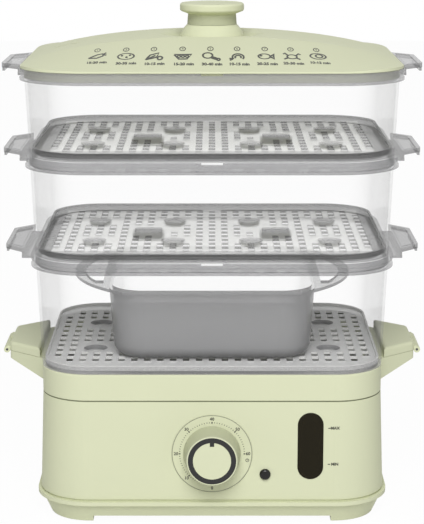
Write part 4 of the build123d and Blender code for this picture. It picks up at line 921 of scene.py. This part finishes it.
class STEAMER_OT_dial_marks(bpy.types.Operator):
    """Prints ticks, numbers, a small clock and an outer line on the dial plate"""

    bl_idname = "steamer.dial_marks"
    bl_label = "Print the dial"

    def execute(self, context):
        marks = context.scene.steamer_marks
        ink = moulded("dial_ink", context.scene.steamer_finish.ink, INK_ROUGHNESS)
        bm = bmesh.new()
        minutes = 10 * marks.tens
        for minute in range(minutes + 1):
            angle = DIAL_START - DIAL_SWEEP * minute / minutes
            spot = Vector((math.cos(angle), math.sin(angle)))
            tick = MINUTE_TICK if minute % 10 else TEN_TICK
            draw_bar(bm, spot * marks.tick_radius, tick, angle)
        for ten in range(marks.tens + 1):
            angle = DIAL_START - DIAL_SWEEP * ten / marks.tens
            spot = Vector((math.cos(angle), math.sin(angle))) * marks.number_radius
            draw_words(bm, str(10 * ten), marks.number_size, spot, weight=NUMBER_WEIGHT)
        clock = Vector((marks.number_radius - CLOCK_INWARD, -CLOCK_DROP))
        draw_ring(bm, clock, CLOCK_RADIUS, CLOCK_LINE, steps=16)
        up, across = CLOCK_HANDS
        hands = (clock + Vector((0, up)), clock, clock + Vector((across, 0)))
        draw_line(bm, hands, HAND_LINE)
        lay_upright(bm, DIAL_CENTRE.x, DIAL_LOW.y, DIAL_CENTRE.z)
        make_piece("dial_marks", bm, ink, "base")
        bm = bmesh.new()
        draw_ring(bm, (0, 0), marks.line_radius, OUTER_LINE, steps=96)
        lay_upright(bm, DIAL_CENTRE.x, DIAL_LOW.y, DIAL_CENTRE.z)
        grey = moulded("dial_line", OUTER_LINE_COLOUR, INK_ROUGHNESS)
        make_piece("dial_outer_line", bm, grey, "base")
        return {"FINISHED"}


class STEAMER_OT_level_marks(bpy.types.Operator):
    """Prints the highest and the lowest water level beside the window"""

    bl_idname = "steamer.level_marks"
    bl_label = "Print the water levels"

    def execute(self, context):
        ink = moulded("level_ink", context.scene.steamer_finish.ink, INK_ROUGHNESS)
        bm = bmesh.new()
        for words, z in LEVELS:
            draw_bar(bm, (LEVEL_TICK_X, z), LEVEL_TICK)
            draw_words(bm, words, LEVEL_WORD_SIZE, (LEVEL_WORD_X, z), weight=LEVEL_WEIGHT)
        lay_upright(bm, 0, PANEL_Y, 0)
        make_piece("level_marks", bm, ink, "base")
        return {"FINISHED"}


class STEAMER_OT_lid_guide(bpy.types.Operator):
    """Prints a row of numbered food signs with their minutes on the front slope of the lid"""

    bl_idname = "steamer.lid_guide"
    bl_label = "Print the lid guide"

    # Sign, minutes and place of its middle
    columns = (
        (sign_root, "15-20", -0.0857, -0.0778),
        (sign_tuber, "30-35", -0.0639, -0.0820),
        (sign_leaf, "10-15", -0.0430, -0.0843),
        (sign_pod, "15-20", -0.0215, -0.0855),
        (sign_drumstick, "30-40", -0.0007, -0.0859),
        (sign_curl, "10-15", 0.0193, -0.0856),
        (sign_fish, "20-25", 0.0400, -0.0845),
        (sign_crab, "25-30", 0.0594, -0.0826),
        (sign_egg, "10-12", 0.0789, -0.0794),
    )

    def execute(self, context):
        line = context.scene.steamer_marks.line
        ink = moulded("guide_ink", context.scene.steamer_finish.ink, INK_ROUGHNESS)
        drawn = bmesh.new()
        for number, (sign, minutes, x, y) in enumerate(self.columns, 1):
            column = self.draw_column(sign, line, number, minutes)
            column.transform(Matrix.Translation((x, y, 0)))
            drawn.from_mesh(column)
            bpy.data.meshes.remove(column)
        face_up(drawn)
        self.drop_on_lid(drawn)
        make_piece("lid_guide", drawn, ink, "lid")
        return {"FINISHED"}

    def draw_column(self, sign, line, number, minutes):
        """Flat mesh of one sign with its number above and its minutes below."""
        bm = bmesh.new()
        sign(bm, line)
        stretched = Matrix.Diagonal((1, GUIDE_STRETCH, 1, 1))
        bmesh.ops.transform(bm, matrix=stretched, verts=bm.verts)
        draw_ring(bm, COUNT_PLACE, COUNT_RADIUS, COUNT_LINE, stretch=GUIDE_STRETCH, steps=16)
        draw_words(bm, str(number), COUNT_SIZE, COUNT_PLACE, stretch=GUIDE_STRETCH)
        draw_words(
            bm, minutes + " min", MINUTES_SIZE, MINUTES_PLACE, stretch=GUIDE_STRETCH,
            weight=MINUTES_WEIGHT,
        )
        flat = bpy.data.meshes.new("sign")
        bm.to_mesh(flat)
        bm.free()
        return flat

    def drop_on_lid(self, bm):
        """Lowers a flat drawing on to the outside of the lid."""
        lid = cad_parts["lid"].data
        surface = BVHTree.FromPolygons(
            [vert.co for vert in lid.vertices], [tuple(face.vertices) for face in lid.polygons],
        )
        for vert in bm.verts:
            above = Vector((vert.co.x, vert.co.y, LID_TOP + DROP_HEIGHT))
            spot, normal, _, _ = surface.ray_cast(above, Vector((0, 0, -1)))
            vert.co = spot + normal * INK_LIFT


class STEAMER_OT_stage(bpy.types.Operator):
    """Sets up the floor, the lamp, the world and the camera"""

    bl_idname = "steamer.stage"
    bl_label = "Set the stage"

    def execute(self, context):
        stage = context.scene.steamer_stage
        context.scene.view_settings.view_transform = "Standard"
        self.add_floor(context)
        self.add_world(context, stage.ambient)
        self.add_lamp(context, stage)
        self.add_camera(context, stage)
        return {"FINISHED"}

    def seen_directly(self, tree):
        """1 for rays from the camera, from a reflection or through a clear piece."""
        path = tree.nodes.new("ShaderNodeLightPath")
        value = path.outputs["Is Camera Ray"]
        for name in ("Is Glossy Ray", "Is Transmission Ray"):
            value = calculate(tree, "MAXIMUM", value, path.outputs[name])
        return value

    def add_floor(self, context):
        """Pale floor that keeps a faint shadow."""
        bm = bmesh.new()
        bmesh.ops.create_grid(bm, x_segments=1, y_segments=1, size=FLOOR_HALF)
        mesh = bpy.data.meshes.new("floor")
        bm.to_mesh(mesh)
        bm.free()
        floor = bpy.data.objects.new("floor", mesh)
        context.scene.collection.objects.link(floor)
        material = bpy.data.materials.new("floor_white")
        material.use_nodes = True
        tree = material.node_tree
        shader = tree.nodes["Principled BSDF"]
        shader.inputs["Base Color"].default_value = (FLOOR_GREY, FLOOR_GREY, FLOOR_GREY, 1.0)
        shader.inputs["Roughness"].default_value = FLOOR_ROUGHNESS
        shader.inputs["Specular IOR Level"].default_value = 0.0
        glow = tree.nodes.new("ShaderNodeEmission")
        share = calculate(tree, "MULTIPLY", self.seen_directly(tree), FLOOR_GLOW)
        mix = tree.nodes.new("ShaderNodeMixShader")
        tree.links.new(share, mix.inputs[0])
        tree.links.new(shader.outputs[0], mix.inputs[1])
        tree.links.new(glow.outputs[0], mix.inputs[2])
        tree.links.new(mix.outputs[0], tree.nodes["Material Output"].inputs["Surface"])
        mesh.materials.append(material)

    def add_world(self, context, ambient):
        """Even light from all round that is seen as white."""
        world = bpy.data.worlds.new("studio")
        context.scene.world = world
        world.use_nodes = True
        tree = world.node_tree
        light = tree.nodes["Background"]
        light.inputs["Color"].default_value = WHITE
        light.inputs["Strength"].default_value = ambient
        white = tree.nodes.new("ShaderNodeBackground")
        white.inputs["Color"].default_value = WHITE
        mix = tree.nodes.new("ShaderNodeMixShader")
        tree.links.new(self.seen_directly(tree), mix.inputs[0])
        tree.links.new(light.outputs[0], mix.inputs[1])
        tree.links.new(white.outputs[0], mix.inputs[2])
        tree.links.new(mix.outputs[0], tree.nodes["World Output"].inputs["Surface"])

    def add_lamp(self, context, stage):
        """Softbox above the camera and behind it."""
        data = bpy.data.lights.new("front_softbox", "AREA")
        data.size = stage.lamp_size
        data.energy = stage.front
        lamp = bpy.data.objects.new("front_softbox", data)
        lamp.location = stage.lamp
        way = Vector(stage.lamp_aim) - Vector(stage.lamp)
        lamp.rotation_euler = way.to_track_quat("-Z", "Y").to_euler()
        context.scene.collection.objects.link(lamp)

    def add_camera(self, context, stage):
        """Camera at the viewing angle of the photograph."""
        data = bpy.data.cameras.new("photo_camera")
        data.sensor_width = SENSOR_WIDTH
        data.lens = stage.lens
        data.clip_start, data.clip_end = CLIP
        camera = bpy.data.objects.new("photo_camera", data)
        camera.location = stage.camera
        camera.rotation_euler = (math.radians(90) - stage.pitch, 0, 0)
        context.scene.collection.objects.link(camera)
        context.scene.camera = camera


class STEAMER_PT_panel(bpy.types.Panel):
    """Steps and settings of the steamer"""

    bl_idname = "STEAMER_PT_panel"
    bl_label = "Food steamer"
    bl_space_type = "VIEW_3D"
    bl_region_type = "UI"
    bl_category = "Steamer"

    def draw(self, context):
        for operator in OPERATORS:
            self.layout.operator(operator.bl_idname)
        for group in SETTINGS:
            settings = getattr(context.scene, group)
            box = self.layout.box()
            for name in settings.bl_rna.properties.keys():
                if name not in ("rna_type", "name"):
                    box.prop(settings, name)


SETTINGS = {
    "steamer_finish": SteamerFinish,
    "steamer_marks": SteamerMarks,
    "steamer_stage": SteamerStage,
}
OPERATORS = (
    STEAMER_OT_sage_parts,
    STEAMER_OT_baskets,
    STEAMER_OT_trays,
    STEAMER_OT_rice_bowl,
    STEAMER_OT_fittings,
    STEAMER_OT_dial_marks,
    STEAMER_OT_level_marks,
    STEAMER_OT_lid_guide,
    STEAMER_OT_stage,
)


def register():
    for item in (*SETTINGS.values(), *OPERATORS, STEAMER_PT_panel):
        bpy.utils.register_class(item)
    for name, group in SETTINGS.items():
        setattr(bpy.types.Scene, name, PointerProperty(type=group))


def unregister():
    for name in SETTINGS:
        delattr(bpy.types.Scene, name)
    for item in (STEAMER_PT_panel, *reversed(OPERATORS), *reversed(SETTINGS.values())):
        bpy.utils.unregister_class(item)


def main():
    register()
    bpy.ops.steamer.sage_parts()
    bpy.ops.steamer.baskets()
    bpy.ops.steamer.trays()
    bpy.ops.steamer.rice_bowl()
    bpy.ops.steamer.fittings()
    bpy.ops.steamer.dial_marks()
    bpy.ops.steamer.level_marks()
    bpy.ops.steamer.lid_guide()
    bpy.ops.steamer.stage()


if __name__ == "__main__":
    main()
